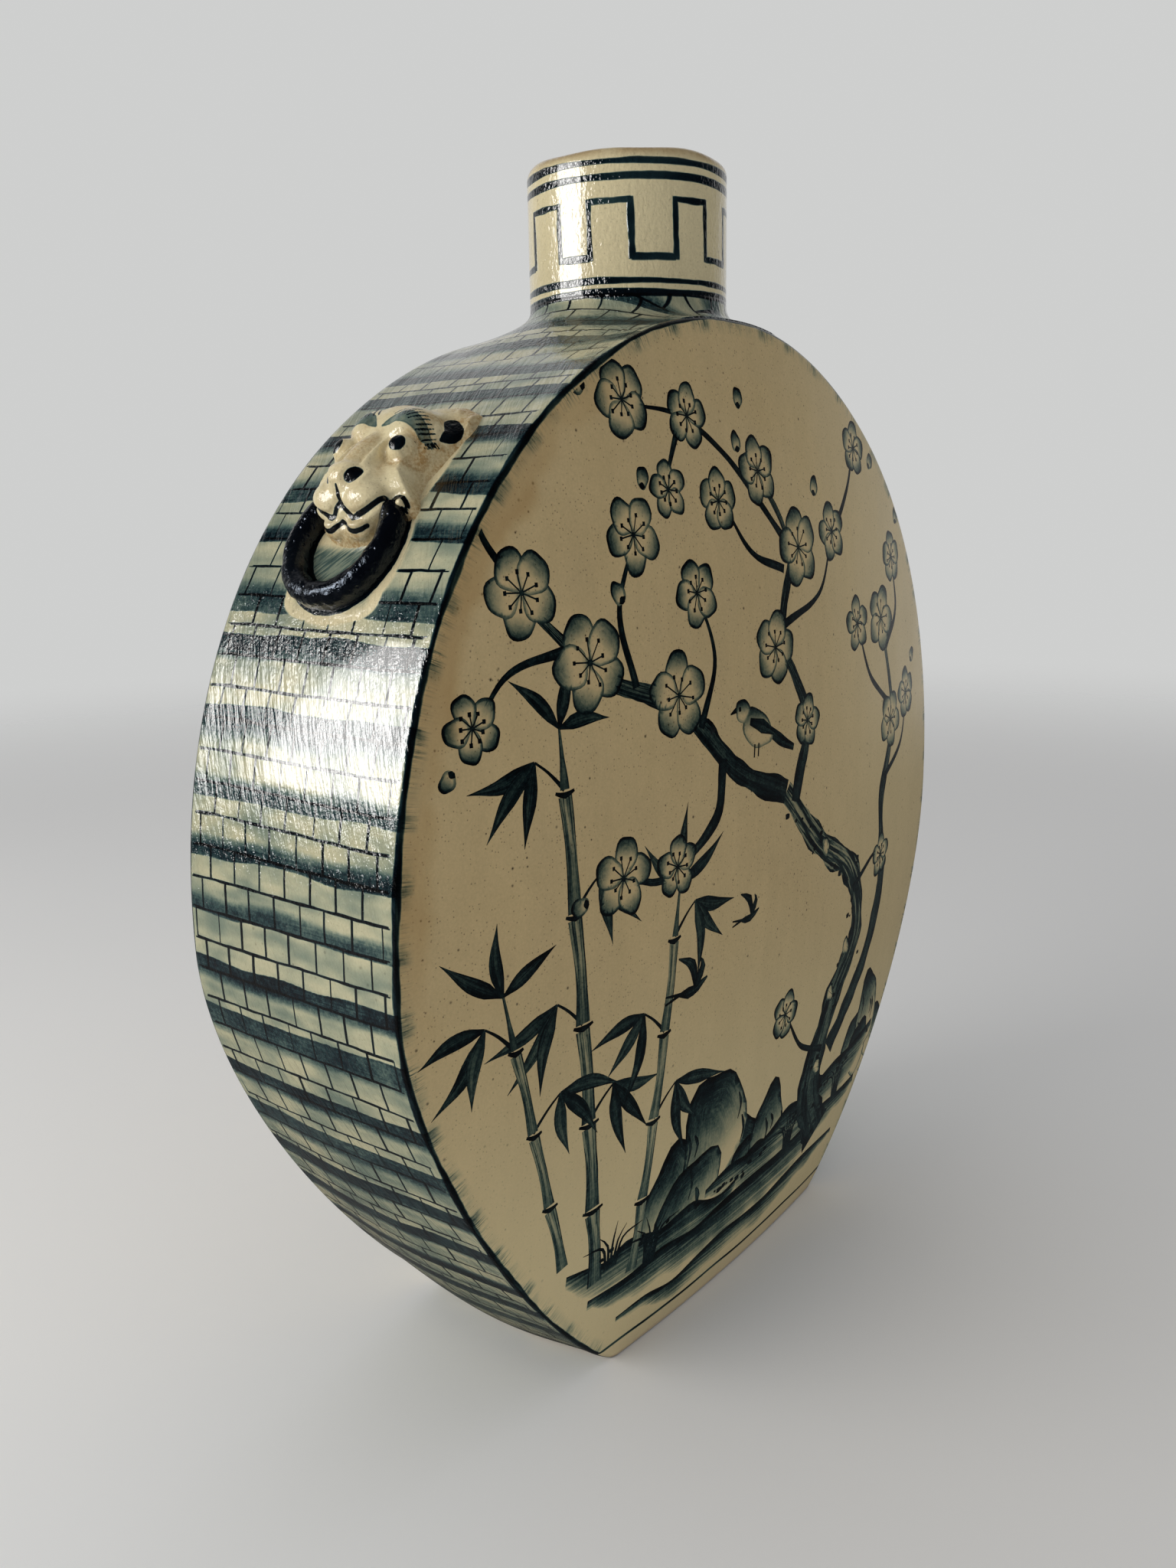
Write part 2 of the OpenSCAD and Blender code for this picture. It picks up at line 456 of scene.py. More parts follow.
def washes(arc, across, edge, point):
    """Horizontal brush washes over the brickwork, in millimetres up and across the band."""
    tree = arc.tree
    slow = noise(point, 18, 1) - 0.5
    uneven = noise(combine(tree, across * 0.04, arc * 0.03, 3.0), 1.0, 1) - 0.5
    course = (arc + slow * 4.0 + uneven * 3.5) / (2 * COURSE) + 0.42
    band = course.floor()
    height = course.fract()
    start = dice(band, 3.3) * 0.16 + 0.03
    length = dice(band, 11.7) * 0.26 + 0.36
    end = start + length
    ragged = (noise(combine(tree, across * 0.5, arc * 0.5, 1.0), 1.0, 3) - 0.5) * 0.035
    high = height + ragged
    downward = high.ramp(start, start + 0.03) * high.ramp(end, start + length * 0.42)
    upward = high.ramp(end, end - 0.03) * high.ramp(start, start + length * 0.6)
    turned = dice(band, 29.1).math("GREATER_THAN", 0.62)
    wash = downward + (upward - downward) * turned
    streaks = noise(combine(tree, across * 0.035, arc * 1.6, 5.0), 1.0, 4, 0.65)
    blots = noise(point, 75, 3, 0.55)
    tone = dice(band, 47.9) * 0.3 + 0.36
    rim = high.ramp(start + 0.07, start + 0.02) * high.ramp(start, start + 0.02) * (1 - turned)
    grain = noise(point, 900, 2, 0.7).ramp(0.3, 0.7, 0.75, 1.3)
    strength = tone * streaks.ramp(0.2, 0.75, 0.72, 1.25) * blots.ramp(0.3, 0.7, 0.7, 1.3) * grain
    faint = noise(combine(tree, across * 0.05, arc * 0.12, 9.0), 1.0, 2).ramp(0.35, 0.8, 0.05, 0.24)
    body = wash * strength + rim * 0.12
    inside = edge.ramp(0.2, -0.4)
    hairs = noise(combine(tree, edge * 0.09, arc * 1.9, 2.0), 1.0, 3, 0.7).ramp(0.46, 0.66)
    smudge = noise(combine(tree, edge * 0.12, arc * 0.22, 4.0), 1.0, 2).ramp(0.42, 0.7)
    spill = (body * 0.8 + 0.12) * (hairs * 0.6 + smudge * 0.5) * edge.ramp(5.0, 0.4) * 0.9
    return (body + faint) * inside + spill * (1 - inside)


def brick_lines(arc, across, edge, point):
    """The thin dark joints of the brickwork."""
    tree = arc.tree
    slow = noise(point, 22, 1) - 0.5
    shaky = noise(point, 150, 2) - 0.5
    up = arc + slow * 2.2 + shaky * 0.35
    row = (up / COURSE).floor()
    in_row = (up / COURSE).fract() * COURSE
    from_course = in_row.least(COURSE - in_row)
    weight = noise(combine(tree, across * 0.12, row * 3.7, 0.0), 1.0, 2)
    half = weight.ramp(0.3, 0.75, 0.16, 0.4)
    margin = dice(row, 5.9) * -1.6 - 1.5
    inside = edge.ramp(margin + 0.3, margin - 0.3)
    course = from_course.ramp(half + 0.2, half - 0.1)
    stagger = row * 0.5 + dice(row, 2.1) * 0.32
    side = across + shaky * 0.5 + (in_row / COURSE - 0.5) * (dice(row, 8.8) - 0.5) * 1.1
    place = side / BRICK + stagger
    column = place.floor()
    in_brick = place.fract() * BRICK
    shift = (dice(row * 7.0 + column, 1.7) - 0.5) * 1.3
    moved = in_brick + shift - 0.65
    joint = moved.abs().ramp(half + 0.22, half * 0.9 - 0.1)
    lines = course.most(joint) * inside
    return lines * weight.ramp(0.25, 0.7, 0.7, 1.25)


def clear_of_mask(arc, across):
    """0 on the plain patch round the lion and its ring, 1 elsewhere."""
    head = ((arc - 105.5) / 22.0).abs().power(2.4) + (across / 18.4).abs().power(2.4)
    ring = ((arc - 132.5) / 19.5).abs().power(2.2) + (across / 19.6).abs().power(2.2)
    below = ((arc - 143.0) / 8.0).abs().power(3.0) + (across / 17.0).abs().power(3.0)
    return head.least(ring).least(below).ramp(0.92, 1.08)


def inside_ring(arc, across, point):
    """The brushed wash on the wall inside the ring."""
    down = (arc - 130.0 + (noise(point, 90, 2) - 0.5) * 3.0) / 18.0
    middle = across.abs().ramp(14.0, 11.0)
    slanted = combine(arc.tree, (arc + across * 0.9) * 0.09, (arc - across * 0.9) * 1.1, 6.0)
    hatch = noise(slanted, 1.0, 2, 0.6).ramp(0.4, 0.62, 0.6, 1.3)
    return down.ramp(0.0, 0.2) * down.ramp(1.05, 0.45) * middle * hatch * 0.42


def band_group():
    """Brickwork, washes and the seam's line: how dense the ink is at each place of the band."""
    group, ins, out = new_group(
        "brickwork",
        [("Arc", FLOAT), ("Across", FLOAT), ("Edge", FLOAT), ("Point", VECTOR)],
        [("Density", FLOAT)])
    arc, across, edge, point = (ins[name] for name in ("Arc", "Across", "Edge", "Point"))
    clear = clear_of_mask(arc, across)
    paint = (washes(arc, across, edge, point) * 1.35 + brick_lines(arc, across, edge, point) * 1.5) * clear
    width = noise(combine(group, arc * 0.035, 0.0, 7.0), 1.0, 2).ramp(0.3, 0.7, 0.4, 1.05)
    frayed = (noise(point, 260, 3) - 0.5) * 0.5
    seam = (edge + (noise(point, 30, 1) - 0.5) * 1.2 + frayed).abs().ramp(width + 0.3, width - 0.25)
    seam = seam * noise(combine(group, arc * 0.09, edge * 0.6, 1.0), 1.0, 3).ramp(0.25, 0.7, 0.75, 1.6)
    from_ring = ((arc - RING_ARC).power(2) + (across - RING_SIDE).power(2)).power(0.5) - RING_R
    fringe = from_ring.abs() + (noise(point, 420, 3) - 0.5) * 0.9
    black = fringe.ramp(3.75, 3.5) * (arc - RING_ARC).ramp(-9.5, -8.0)
    total = paint + seam + inside_ring(arc, across, point) + black * 1.4
    group.links.new(total.socket, out.inputs["Density"])
    return group


def speckle_group():
    """Iron specks and soft mottling under the glaze, and the glaze's own ripple."""
    group, ins, out = new_group(
        "glaze_body",
        [("Base", COLOR), ("Point", VECTOR), ("Specks", FLOAT), ("Ripple", FLOAT)],
        [("Color", COLOR), ("Height", FLOAT), ("Gloss", FLOAT)])
    point = ins["Point"]
    mottle = noise(point, 90, 4, 0.6)
    cloud = noise(point, 14, 2)
    streak = noise(scaled(point, 1, 1, 0.12), 170, 2)
    grain = noise(point, 1400, 2, 0.7)
    tone = (mottle - 0.5) * 0.16 + (cloud - 0.5) * 0.2 + (streak - 0.5) * 0.12 + (grain - 0.5) * 0.3 + 1.0
    node = group.nodes.new("ShaderNodeVectorMath")
    node.operation = "SCALE"
    plug(group, ins["Base"], node.inputs[0])
    plug(group, tone, node.inputs["Scale"])
    toned = Wire(group, node.outputs[0])
    near, colour = cells(point, 420)
    chance, size, _ = separate(colour)
    dots = near.ramp(size * 0.2 + 0.08, 0.03) * chance.math("GREATER_THAN", 0.82)
    fine, fine_colour = cells(point, 1100)
    fine_chance, _, _ = separate(fine_colour)
    dust = fine.ramp(0.32, 0.08) * fine_chance.math("GREATER_THAN", 0.66) * 0.6
    spots = dots.most(dust) * ins["Specks"]
    color = mixed(spots, toned, (0.075, 0.05, 0.03, 1))
    slow = noise(scaled(point, 1, 1, 0.35), 55, 2)
    peel = noise(point, 480, 3, 0.6)
    height = slow * 0.6 + peel * 0.16
    height = height * ins["Ripple"]
    group.links.new(color.socket, out.inputs["Color"])
    group.links.new(height.socket, out.inputs["Height"])
    group.links.new(noise(point, 60, 3).socket, out.inputs["Gloss"])
    return group


INK = ink_group()
BRICKWORK = band_group()
BODY_GLAZE = speckle_group()


def new_material(name):
    """A material, its tree, its shader and the place on the piece."""
    material = bpy.data.materials.new(name)
    material.use_nodes = True
    tree = material.node_tree
    shader = tree.nodes["Principled BSDF"]
    place = tree.nodes.new("ShaderNodeTexCoord")
    return material, tree, shader, Wire(tree, place.outputs["Object"])


def read_value(tree, name, vector=False):
    """What a piece holds under this name at each point."""
    node = tree.nodes.new("ShaderNodeAttribute")
    node.attribute_name = name
    return Wire(tree, node.outputs["Vector" if vector else "Fac"])


def finish_glaze(tree, shader, color, height, rough, distance, coat=0.0, ior=1.5):
    """Colour, gloss and bump of a glaze."""
    plug(tree, color, shader.inputs["Base Color"])
    plug(tree, rough, shader.inputs["Roughness"])
    bump = tree.nodes.new("ShaderNodeBump")
    bump.inputs["Distance"].default_value = distance
    plug(tree, height, bump.inputs["Height"])
    tree.links.new(bump.outputs[0], shader.inputs["Normal"])
    shader.inputs["IOR"].default_value = ior
    shader.inputs["Coat Weight"].default_value = coat
    shader.inputs["Coat Roughness"].default_value = 0.06


def bare_foot(tree, color, point):
    """Wiped, unglazed clay on the underside."""
    _, _, z = separate(point)
    ragged = z + (noise(point, 160, 3) - 0.5) * 0.0014
    bare = ragged.ramp(0.0012, 0.0004)
    return mixed(bare, color, CLAY)


def brushed(arc, across, point):
    """Runs and grains in the glaze of the band, as height."""
    running = combine(arc.tree, across * 0.5 + arc * 0.2, arc * 0.05 - across * 0.02, 1.0)
    return noise(running, 1.0, 3, 0.6) * 0.7 + noise(point, 1000, 2, 0.6) * 0.16


def cream_glaze():
    """Glossy cream glaze with the painted brickwork, for the band."""
    material, tree, shader, point = new_material("cream_glaze_brickwork")
    course = read_value(tree, "band", vector=True)
    arc, across, edge = separate(course)
    body = use_group(tree, BODY_GLAZE, Base=CREAM, Point=point, Specks=0.35, Ripple=1.0)
    density = use_group(tree, BRICKWORK, Arc=arc, Across=across, Edge=edge, Point=point)["Density"]
    inked = use_group(tree, INK, Base=body["Color"], Density=density)["Color"]
    color = bare_foot(tree, inked, point)
    rough = body["Gloss"].ramp(0.3, 0.7, 0.07, 0.13)
    welt = edge.ramp(-7.0, -2.0) * 0.36
    height = body["Height"] + brushed(arc, across, point) + welt
    finish_glaze(tree, shader, color, height, rough, 0.0008, 0.45)
    return material


def tan_glaze():
    """Satin tan glaze of the faces, with the brush painting."""
    material, tree, shader, point = new_material("tan_glaze_painted")
    course = read_value(tree, "band", vector=True)
    arc, across, edge = separate(course)
    brush = read_value(tree, "brush", vector=True)
    ink, along, over = separate(brush)
    dry = read_value(tree, "dry")
    body = use_group(tree, BODY_GLAZE, Base=TAN, Point=point, Specks=1.0, Ripple=0.55)
    smear = noise(combine(tree, arc * 0.02, edge * 0.05, 4.0), 1.0, 3).ramp(0.3, 0.6)
    broad = noise(combine(tree, arc * 0.05, 2.0, 4.0), 1.0, 3) * 18.0 - 1.0
    x, _, z = separate(point)
    upper_left = (x / MM).ramp(-40, -90) * (z / MM).ramp(110, 170)
    warm = edge.ramp(broad + 3.0, broad - 2.0) * (smear * 0.6 + 0.4) * upper_left
    based = mixed(warm * 0.6, body["Color"], (0.44, 0.275, 0.105, 1))
    # Painted light: the tan is mixed paler towards the foot and towards the right, standing in for light from the floor
    # and sheen.
    painted_bounce_light = ((z / MM).ramp(150, 20) * 0.75).most((x / MM).ramp(-10, 100) * 0.35)
    based = mixed(painted_bounce_light, based, (0.82, 0.70, 0.41, 1))
    border = use_group(tree, BRICKWORK, Arc=arc, Across=across, Edge=edge, Point=point)["Density"]
    streak = noise(combine(tree, along * 0.05, over * 4.0, along * 0.01), 1.0, 3, 0.6)
    bristle = 1 - dry * streak.ramp(0.42, 0.62)
    pooled = noise(point, 110, 3, 0.6).ramp(0.25, 0.75, 0.8, 1.2)
    grain = noise(point, 1000, 2, 0.7).ramp(0.3, 0.7, 0.85, 1.15)
    painted = ink * bristle * pooled * grain
    line = (z / MM - FOOT_LINE_Z + (noise(point, 25, 1) - 0.5) * 2.4).abs()
    foot_line = line.ramp(0.65, 0.25) * noise(point, 45, 2).ramp(0.3, 0.6, 0.7, 1.5)
    above = (z / MM).ramp(FOOT_LINE_Z - 0.6, FOOT_LINE_Z + 0.2)
    density = (painted + border) * above + foot_line
    inked = use_group(tree, INK, Base=based, Density=density)["Color"]
    # Painted light: below the foot line the glaze is mixed paler, standing in for light from the floor.
    pale = (z / MM).ramp(FOOT_LINE_Z - 0.2, FOOT_LINE_Z - 1.2) * 0.55
    color = bare_foot(tree, mixed(pale, inked, (0.72, 0.60, 0.38, 1)), point)
    rough = body["Gloss"].ramp(0.3, 0.7, 0.14, 0.24)
    finish_glaze(tree, shader, color, body["Height"], rough, 0.0006, 0.0, 1.38)
    return material


def neck_glaze():
    """Cream glaze of the neck, with its ring lines and the running key line."""
    material, tree, shader, point = new_material("cream_glaze_neck")
    course = read_value(tree, "band", vector=True)
    arc, across, edge = separate(course)
    body = use_group(tree, BODY_GLAZE, Base=CREAM, Point=point, Specks=0.4, Ripple=0.9)
    x, y, z = separate(point)
    shaky = (noise(point, 45, 2) - 0.5) * 1.3
    fine = (noise(point, 240, 2) - 0.5) * 0.3
    high = z / MM + shaky + fine
    angle = y.math("ARCTAN2", x)
    load = noise(combine(tree, x * 32, y * 32, z * 90), 1.0, 2)
    lines = high * 0.0
    for number, level in enumerate(NECK_LINES):
        weight = noise(combine(tree, x * 26, y * 26, float(number) * 5.0), 1.0, 2)
        half = weight.ramp(0.3, 0.7, 0.45, 1.05)
        line = (high - level).abs().ramp(half + 0.25, half - 0.2)
        lines = lines.most(line * load.ramp(0.25, 0.6, 0.72, 1.15))
    jitter = noise(combine(tree, angle * 0.9, 2.0, 0.0), 1.0, 2) - 0.5
    turn = angle * (KEY_TEETH / (2 * math.pi)) + jitter * 0.35 + 0.12
    tooth = turn.fract()
    raised = tooth.math("GREATER_THAN", 0.5)
    key_z = high + (noise(combine(tree, x * 22, y * 22, 8.0), 1.0, 1) - 0.5) * 1.6
    half = noise(combine(tree, angle * 3.1, z * 120, 3.0), 1.0, 2).ramp(0.3, 0.7, 0.5, 0.95)
    level = raised * (KEY_HIGH - KEY_LOW) + KEY_LOW
    bar = (key_z - level).abs().ramp(half + 0.25, half - 0.2)
    tooth_mm = 2 * math.pi * NECK_R / KEY_TEETH
    lean = (key_z - (KEY_LOW + KEY_HIGH) / 2) * 0.012
    slanted = (turn + lean * 0.1).fract()
    near = (slanted - 0.5).abs().least(slanted.least(1 - slanted)) * tooth_mm
    within = key_z.ramp(KEY_LOW - 0.9, KEY_LOW - 0.4) * key_z.ramp(KEY_HIGH + 0.9, KEY_HIGH + 0.4)
    post = near.ramp(half + 0.25, half - 0.2) * within
    key = bar.most(post) * load.ramp(0.25, 0.65, 0.6, 1.15)
    lower = high.ramp(NECK_LINES[3], NECK_LINES[3] - 0.6)
    brick = use_group(tree, BRICKWORK, Arc=arc, Across=across, Edge=edge, Point=point)["Density"]
    from_axis = (x * x + y * y).math("SQRT") / MM
    outside = from_axis.ramp(MOUTH_R + 1.5, MOUTH_R + 2.5)
    density = (lines.most(key) * 1.35 + brick * lower) * outside
    inked = use_group(tree, INK, Base=body["Color"], Density=density)["Color"]
    toast = high.ramp(RIM_Z - 4.0, RIM_Z - 1.2) * noise(point, 130, 3).ramp(0.3, 0.6, 0.5, 1.0)
    color = mixed(toast * 0.75, inked, (0.37, 0.24, 0.11, 1))
    rough = body["Gloss"].ramp(0.3, 0.7, 0.06, 0.12)
    orange_peel = noise(scaled(point, 1, 1, 0.6), 800, 2, 0.5) * (0.34 + density.least(1.0) * 0.4)
    height = body["Height"] + orange_peel + brushed(arc, across, point) * lower
    finish_glaze(tree, shader, color, height, rough, 0.0008, 0.45)
    return material


def lion_glaze():
    """Cream glaze of the lion, its features painted in black and blue green."""
    material, tree, shader, point = new_material("cream_glaze_lion")
    marks = read_value(tree, "marks", vector=True)
    black, hair, hollow = separate(marks)
    rough_edge = (noise(point, 900, 2) - 0.5) * 0.25
    body = use_group(tree, BODY_GLAZE, Base=CREAM, Point=point, Specks=0.5, Ripple=0.5)
    stipple = noise(point, 1300, 2, 0.6).ramp(0.35, 0.65, 0.55, 1.35)
    toast = noise(point, 120, 3).ramp(0.42, 0.7) * 0.35
    warmed = mixed((hollow.most(0.0) * 0.75 + toast) * stipple, body["Color"], (0.42, 0.27, 0.11, 1))
    dark = (black + rough_edge).ramp(0.16, -0.16) * 1.6
    wash = (hair + rough_edge).ramp(0.2, -0.3) * noise(point, 300, 2).ramp(0.3, 0.7, 0.24, 0.5)
    wash = wash + (hair + rough_edge).abs().ramp(0.3, 0.05) * 0.3
    density = dark * noise(point, 200, 2).ramp(0.3, 0.7, 0.85, 1.25) + wash
    inked = use_group(tree, INK, Base=warmed, Density=density)["Color"]
    rough = body["Gloss"].ramp(0.3, 0.7, 0.16, 0.28)
    peel = noise(point, 700, 2, 0.6) * 0.4
    finish_glaze(tree, shader, inked, body["Height"] + peel, rough, 0.0006, 0.0, 1.45)
    return material


def black_glaze():
    """Thick blue black glaze of the rings, with pits and a few worn grains."""
    material, tree, shader, point = new_material("black_glaze_ring")
    fine = noise(point, 620, 4, 0.65)
    slow = noise(point, 60, 2)
    color = mixed(slow.ramp(0.3, 0.7), (0.001, 0.0015, 0.003, 1), (0.003, 0.0045, 0.007, 1))
    pits, _ = cells(point, 620)
    height = fine * 0.9 + pits.ramp(0.0, 0.35) * 0.6
    rough = slow.ramp(0.3, 0.7, 0.07, 0.14)
    shader.inputs["Specular Tint"].default_value = (0.66, 0.8, 1.0, 1)
    finish_glaze(tree, shader, color, height, rough, 0.0003, 0.0, 1.42)
    return material


def bare_clay():
    """Unglazed fired clay of the base."""
    material, tree, shader, point = new_material("bare_clay_base")
    grain = noise(point, 700, 4, 0.7)
    cloud = noise(point, 30, 3)
    tone = mixed(cloud.ramp(0.3, 0.7), CLAY, (0.52, 0.39, 0.23, 1))
    color = mixed(grain.ramp(0.55, 0.8) * 0.5, tone, (0.35, 0.25, 0.15, 1))
    finish_glaze(tree, shader, color, grain, cloud.ramp(0.2, 0.8, 0.75, 0.95), 0.0004)
    return material


# The painting on the faces
STRENGTH = 1.4


def smooth_path(knots, step):
    """A smooth curve through the knots, with points about a step apart."""
    points = np.array(knots, dtype=float)
    ends = np.vstack([2 * points[0] - points[1], points, 2 * points[-1] - points[-2]])
    path = []
    for i in range(1, len(ends) - 2):
        a, b, c, d = ends[i - 1:i + 3]
        count = max(2, int(np.linalg.norm(c - b) / step))
        for t in np.arange(count) / count:
            path.append(0.5 * (2 * b + (c - a) * t + (2 * a - 5 * b + 4 * c - d) * t * t
                               + (3 * b - a - 3 * c + d) * t ** 3))
    path.append(points[-1])
    return np.array(path)


def run_lengths(path):
    return np.concatenate([[0], np.cumsum(np.linalg.norm(np.diff(path, axis=0), axis=1))])


def from_path(points, path):
    """For each point: the way along the path, and the way from it, to the left above 0."""
    a, b = path[:-1], path[1:]
    run = b - a
    square = np.maximum((run ** 2).sum(1), 1e-9)
    rel = points[:, None, :] - a[None]
    t = np.clip((rel * run).sum(2) / square, 0, 1)
    away = rel - t[..., None] * run
    distance = np.sqrt((away ** 2).sum(2))
    k = distance.argmin(1)
    rows = np.arange(len(points))
    lengths = run_lengths(path)
    along = lengths[k] + t[rows, k] * np.sqrt(square[k])
    cross = run[k, 0] * rel[rows, k, 1] - run[k, 1] * rel[rows, k, 0]
    return along, np.where(cross < 0, -1, 1) * distance[rows, k]


class Painting:
    """Brush strokes on a flat sheet; each has polygons and a rule for its ink."""

    def __init__(self, seed):
        self.polygons = []
        self.owners = []
        self.rules = []
        self.extra = []
        self.luck = random.Random(seed)

    def add(self, polygons, rule):
        for polygon in polygons:
            self.polygons.append(np.asarray(polygon, dtype=float))
            self.owners.append(len(self.rules))
        self.rules.append(rule)

    def uneven(self, count, size):
        """Random numbers that change smoothly, for the edge of a stroke."""
        rough = np.array([self.luck.gauss(0, size * 1.7) for _ in range(count + 4)])
        return np.convolve(rough, np.array([1, 2, 3, 2, 1]) / 9, "valid")

    def stroke(self, knots, widths, tone=1.0, dry=0.0, step=2.0, wobble=0.06, body=0.25):
        """A ribbon along the knots; widths are spread evenly along it."""
        path = smooth_path(knots, step)
        lengths = run_lengths(path)
        share = lengths / lengths[-1]
        half = np.interp(share, np.linspace(0, 1, len(widths)), widths) / 2
        run = np.gradient(path, axis=0)
        run /= np.maximum(np.linalg.norm(run, axis=1, keepdims=True), 1e-9)
        side = np.stack([-run[:, 1], run[:, 0]], axis=1)
        shake = [self.uneven(len(path), wobble) for _ in range(2)]
        left = path + side * (half * (1 + shake[0]))[:, None]
        right = path - side * (half * (1 + shake[1]))[:, None]
        middle = (left + right) / 2
        polygons = []
        for i in range(len(path) - 1):
            if half[i] < 1.2:
                polygons.append([right[i], right[i + 1], left[i + 1], left[i]])
            else:
                polygons.append([right[i], right[i + 1], middle[i + 1], middle[i]])
                polygons.append([middle[i], middle[i + 1], left[i + 1], left[i]])
        start = self.luck.random() * 50
        whole = lengths[-1]

        def rule(points):
            along, away = from_path(points, path)
            width = np.maximum(np.interp(along, lengths, half), 0.05)
            over = np.clip(away / width, -1.2, 1.2)
            ink = STRENGTH * tone * (1 - body + body * over ** 2)
            worn = np.full(len(points), dry) * np.clip(0.4 + along / whole, 0.4, 1)
            return ink, along + start, over, worn

        self.add(polygons, rule)

    def patch(self, outline, rule, rings=(1.0, 2.2, 3.8, 6.0)):
        """A filled shape with its own rule, and points inside it that carry its shading."""
        outline = np.asarray(outline, dtype=float)
        self.add([outline], rule)
        middle = outline.mean(0)
        size = np.linalg.norm(outline - middle, axis=1).mean()
        for depth in rings:
            if depth < size * 0.85:
                self.extra.append(middle + (outline - middle) * (1 - depth / size))

    def lobe(self, middle, radii, turn, rim=1.1, wash=0.6, aim=None, clear=0.7, lumps=0.06):
        """A rounded shape with a dark rim, whose wash fades from the side it is aimed at."""
        count = 26
        angles = np.linspace(0, 2 * math.pi, count, endpoint=False)
        phase = self.luck.random() * 6
        bump = 1 + lumps * np.sin(3 * angles + phase) + lumps * 0.6 * np.sin(5 * angles + 2 * phase)
        ring = np.stack([np.cos(angles) * radii[0] * bump, np.sin(angles) * radii[1] * bump], axis=1)
        spin = np.array([[math.cos(turn), math.sin(turn)], [-math.sin(turn), math.cos(turn)]])
        outline = ring @ spin + np.asarray(middle)
        closed = np.vstack([outline, outline[:1]])
        way = turn if aim is None else aim
        axis = np.array([math.cos(way), math.sin(way)])
        over = (outline - np.asarray(middle)) @ axis
        top, length = over.max(), over.max() - over.min()
        start = self.luck.random() * 50
        tone = STRENGTH * (0.85 + 0.3 * self.luck.random())

        def rule(points):
            along, away = from_path(points, closed)
            depth = np.abs(away)
            share = (top - (points - np.asarray(middle)) @ axis) / length
            fade = np.clip(1 - share / clear, 0, 1)
            ink = (rim * np.exp(-(depth / 0.55) ** 2) * (0.3 + 0.7 * np.clip(1 - share, 0, 1))
                   + wash * fade ** 1.8) * tone
            return ink, along + start, depth * 0.3, np.full(len(points), 0.25)

        self.patch(outline, rule)


def blossom(art, x, z, size, turn, open_share=1.0):
    """A five-petalled blossom seen from the front, dark outside and clear within."""
    order = list(range(5))
    art.luck.shuffle(order)
    for k in order:
        angle = turn + k * 2 * math.pi / 5 + art.luck.gauss(0, 0.05)
        away = np.array([math.cos(angle), math.sin(angle)])
        middle = np.array([x, z]) + away * size * 0.56
        art.lobe(middle, (size * 0.5, size * 0.47 * open_share), angle, rim=1.1,
                 wash=0.5 + 0.35 * art.luck.random(), clear=0.62, lumps=0.05)
    art.stroke([(x - size * 0.05, z), (x + size * 0.06, z)], [size * 0.12, size * 0.12], tone=1.0, step=0.6)
    for k in range(9):
        angle = turn + 0.3 + k * 2 * math.pi / 9
        reach = size * (0.38 + 0.16 * art.luck.random())
        tip = (x + reach * math.cos(angle), z + reach * math.sin(angle))
        art.stroke([(x, z), tip], [0.42, 0.42], tone=0.9, step=1.5)
        art.stroke([(tip[0] - 0.5, tip[1]), (tip[0] + 0.5, tip[1])], [1.1, 1.1], tone=1.2, step=0.6)


def bud(art, x, z, size, turn):
    """A closed bud with its dark cup."""
    art.lobe((x, z), (size, size * 0.8), turn, rim=1.1, wash=0.9, clear=0.8)
    cup = (x - size * math.cos(turn), z - size * math.sin(turn))
    art.stroke([cup, (x - size * 0.4 * math.cos(turn), z - size * 0.4 * math.sin(turn))],
               [1.0, size * 0.9, 0.6], tone=1.15, step=0.8)


def leaf(art, x, z, turn, length, width, tone=1.0):
    """A pointed leaf in one press of the brush."""
    bend = (art.luck.random() - 0.5) * 0.35
    middle = (x + length * 0.5 * math.cos(turn + bend), z + length * 0.5 * math.sin(turn + bend))
    tip = (x + length * math.cos(turn), z + length * math.sin(turn))
    widths = [width * w for w in (0.16, 0.5, 0.9, 1.0, 0.92, 0.72, 0.45, 0.2, 0.03)]
    art.stroke([(x, z), middle, tip], widths, tone=tone * (0.85 + 0.35 * art.luck.random()),
               dry=0.35, step=1.8, body=0.3)


def bamboo(art, x, z, lean, joints, length, width, tone=0.8):
    """A stalk of bamboo with a gap and a mark at each joint, and its leaves."""
    for k in range(joints):
        run = length * (1 + 0.05 * k)
        top = (x + run * math.sin(lean), z + run * math.cos(lean))
        art.stroke([(x, z), ((x + top[0]) / 2 + 0.4, (z + top[1]) / 2), top],
                   [width * 1.12, width * 0.9, width * 0.88, width * 1.1], tone=tone, dry=0.75,
                   step=2.6, body=0.45)
        mark = width * 0.75
        art.stroke([(top[0] - mark, top[1] + 1.1), (top[0], top[1] + 0.2), (top[0] + mark, top[1] + 1.1)],
                   [0.8, 1.7, 0.8], tone=1.2, step=1.2)
        x, z = top[0] + 1.6 * math.sin(lean), top[1] + 1.6 * math.cos(lean)
        lean += 0.025
        width *= 0.95
        if k >= 1:
            side = 1 if k % 2 else -1
            twig = (x + side * 9, z + 8)
            art.stroke([(x, z), (x + side * 5, z + 5), twig], [1.3, 0.9, 0.6], tone=1.0, step=1.5)
            for turn in (-0.25, -0.8, -1.35):
                aim = turn if side > 0 else math.pi - turn
                leaf(art, twig[0], twig[1], aim + art.luck.gauss(0, 0.08), 19 + 7 * art.luck.random(), 4.6)
    tip = (x + 15 * math.sin(lean), z + 15 * math.cos(lean))
    art.stroke([(x, z), tip], [width * 0.8, width * 0.4, 0.8], tone=tone, dry=0.5, step=2.4)
    for turn in (0.5, 1.5, 2.5):
        leaf(art, tip[0], tip[1], turn + art.luck.gauss(0, 0.15), 17 + 6 * art.luck.random(), 4.2)


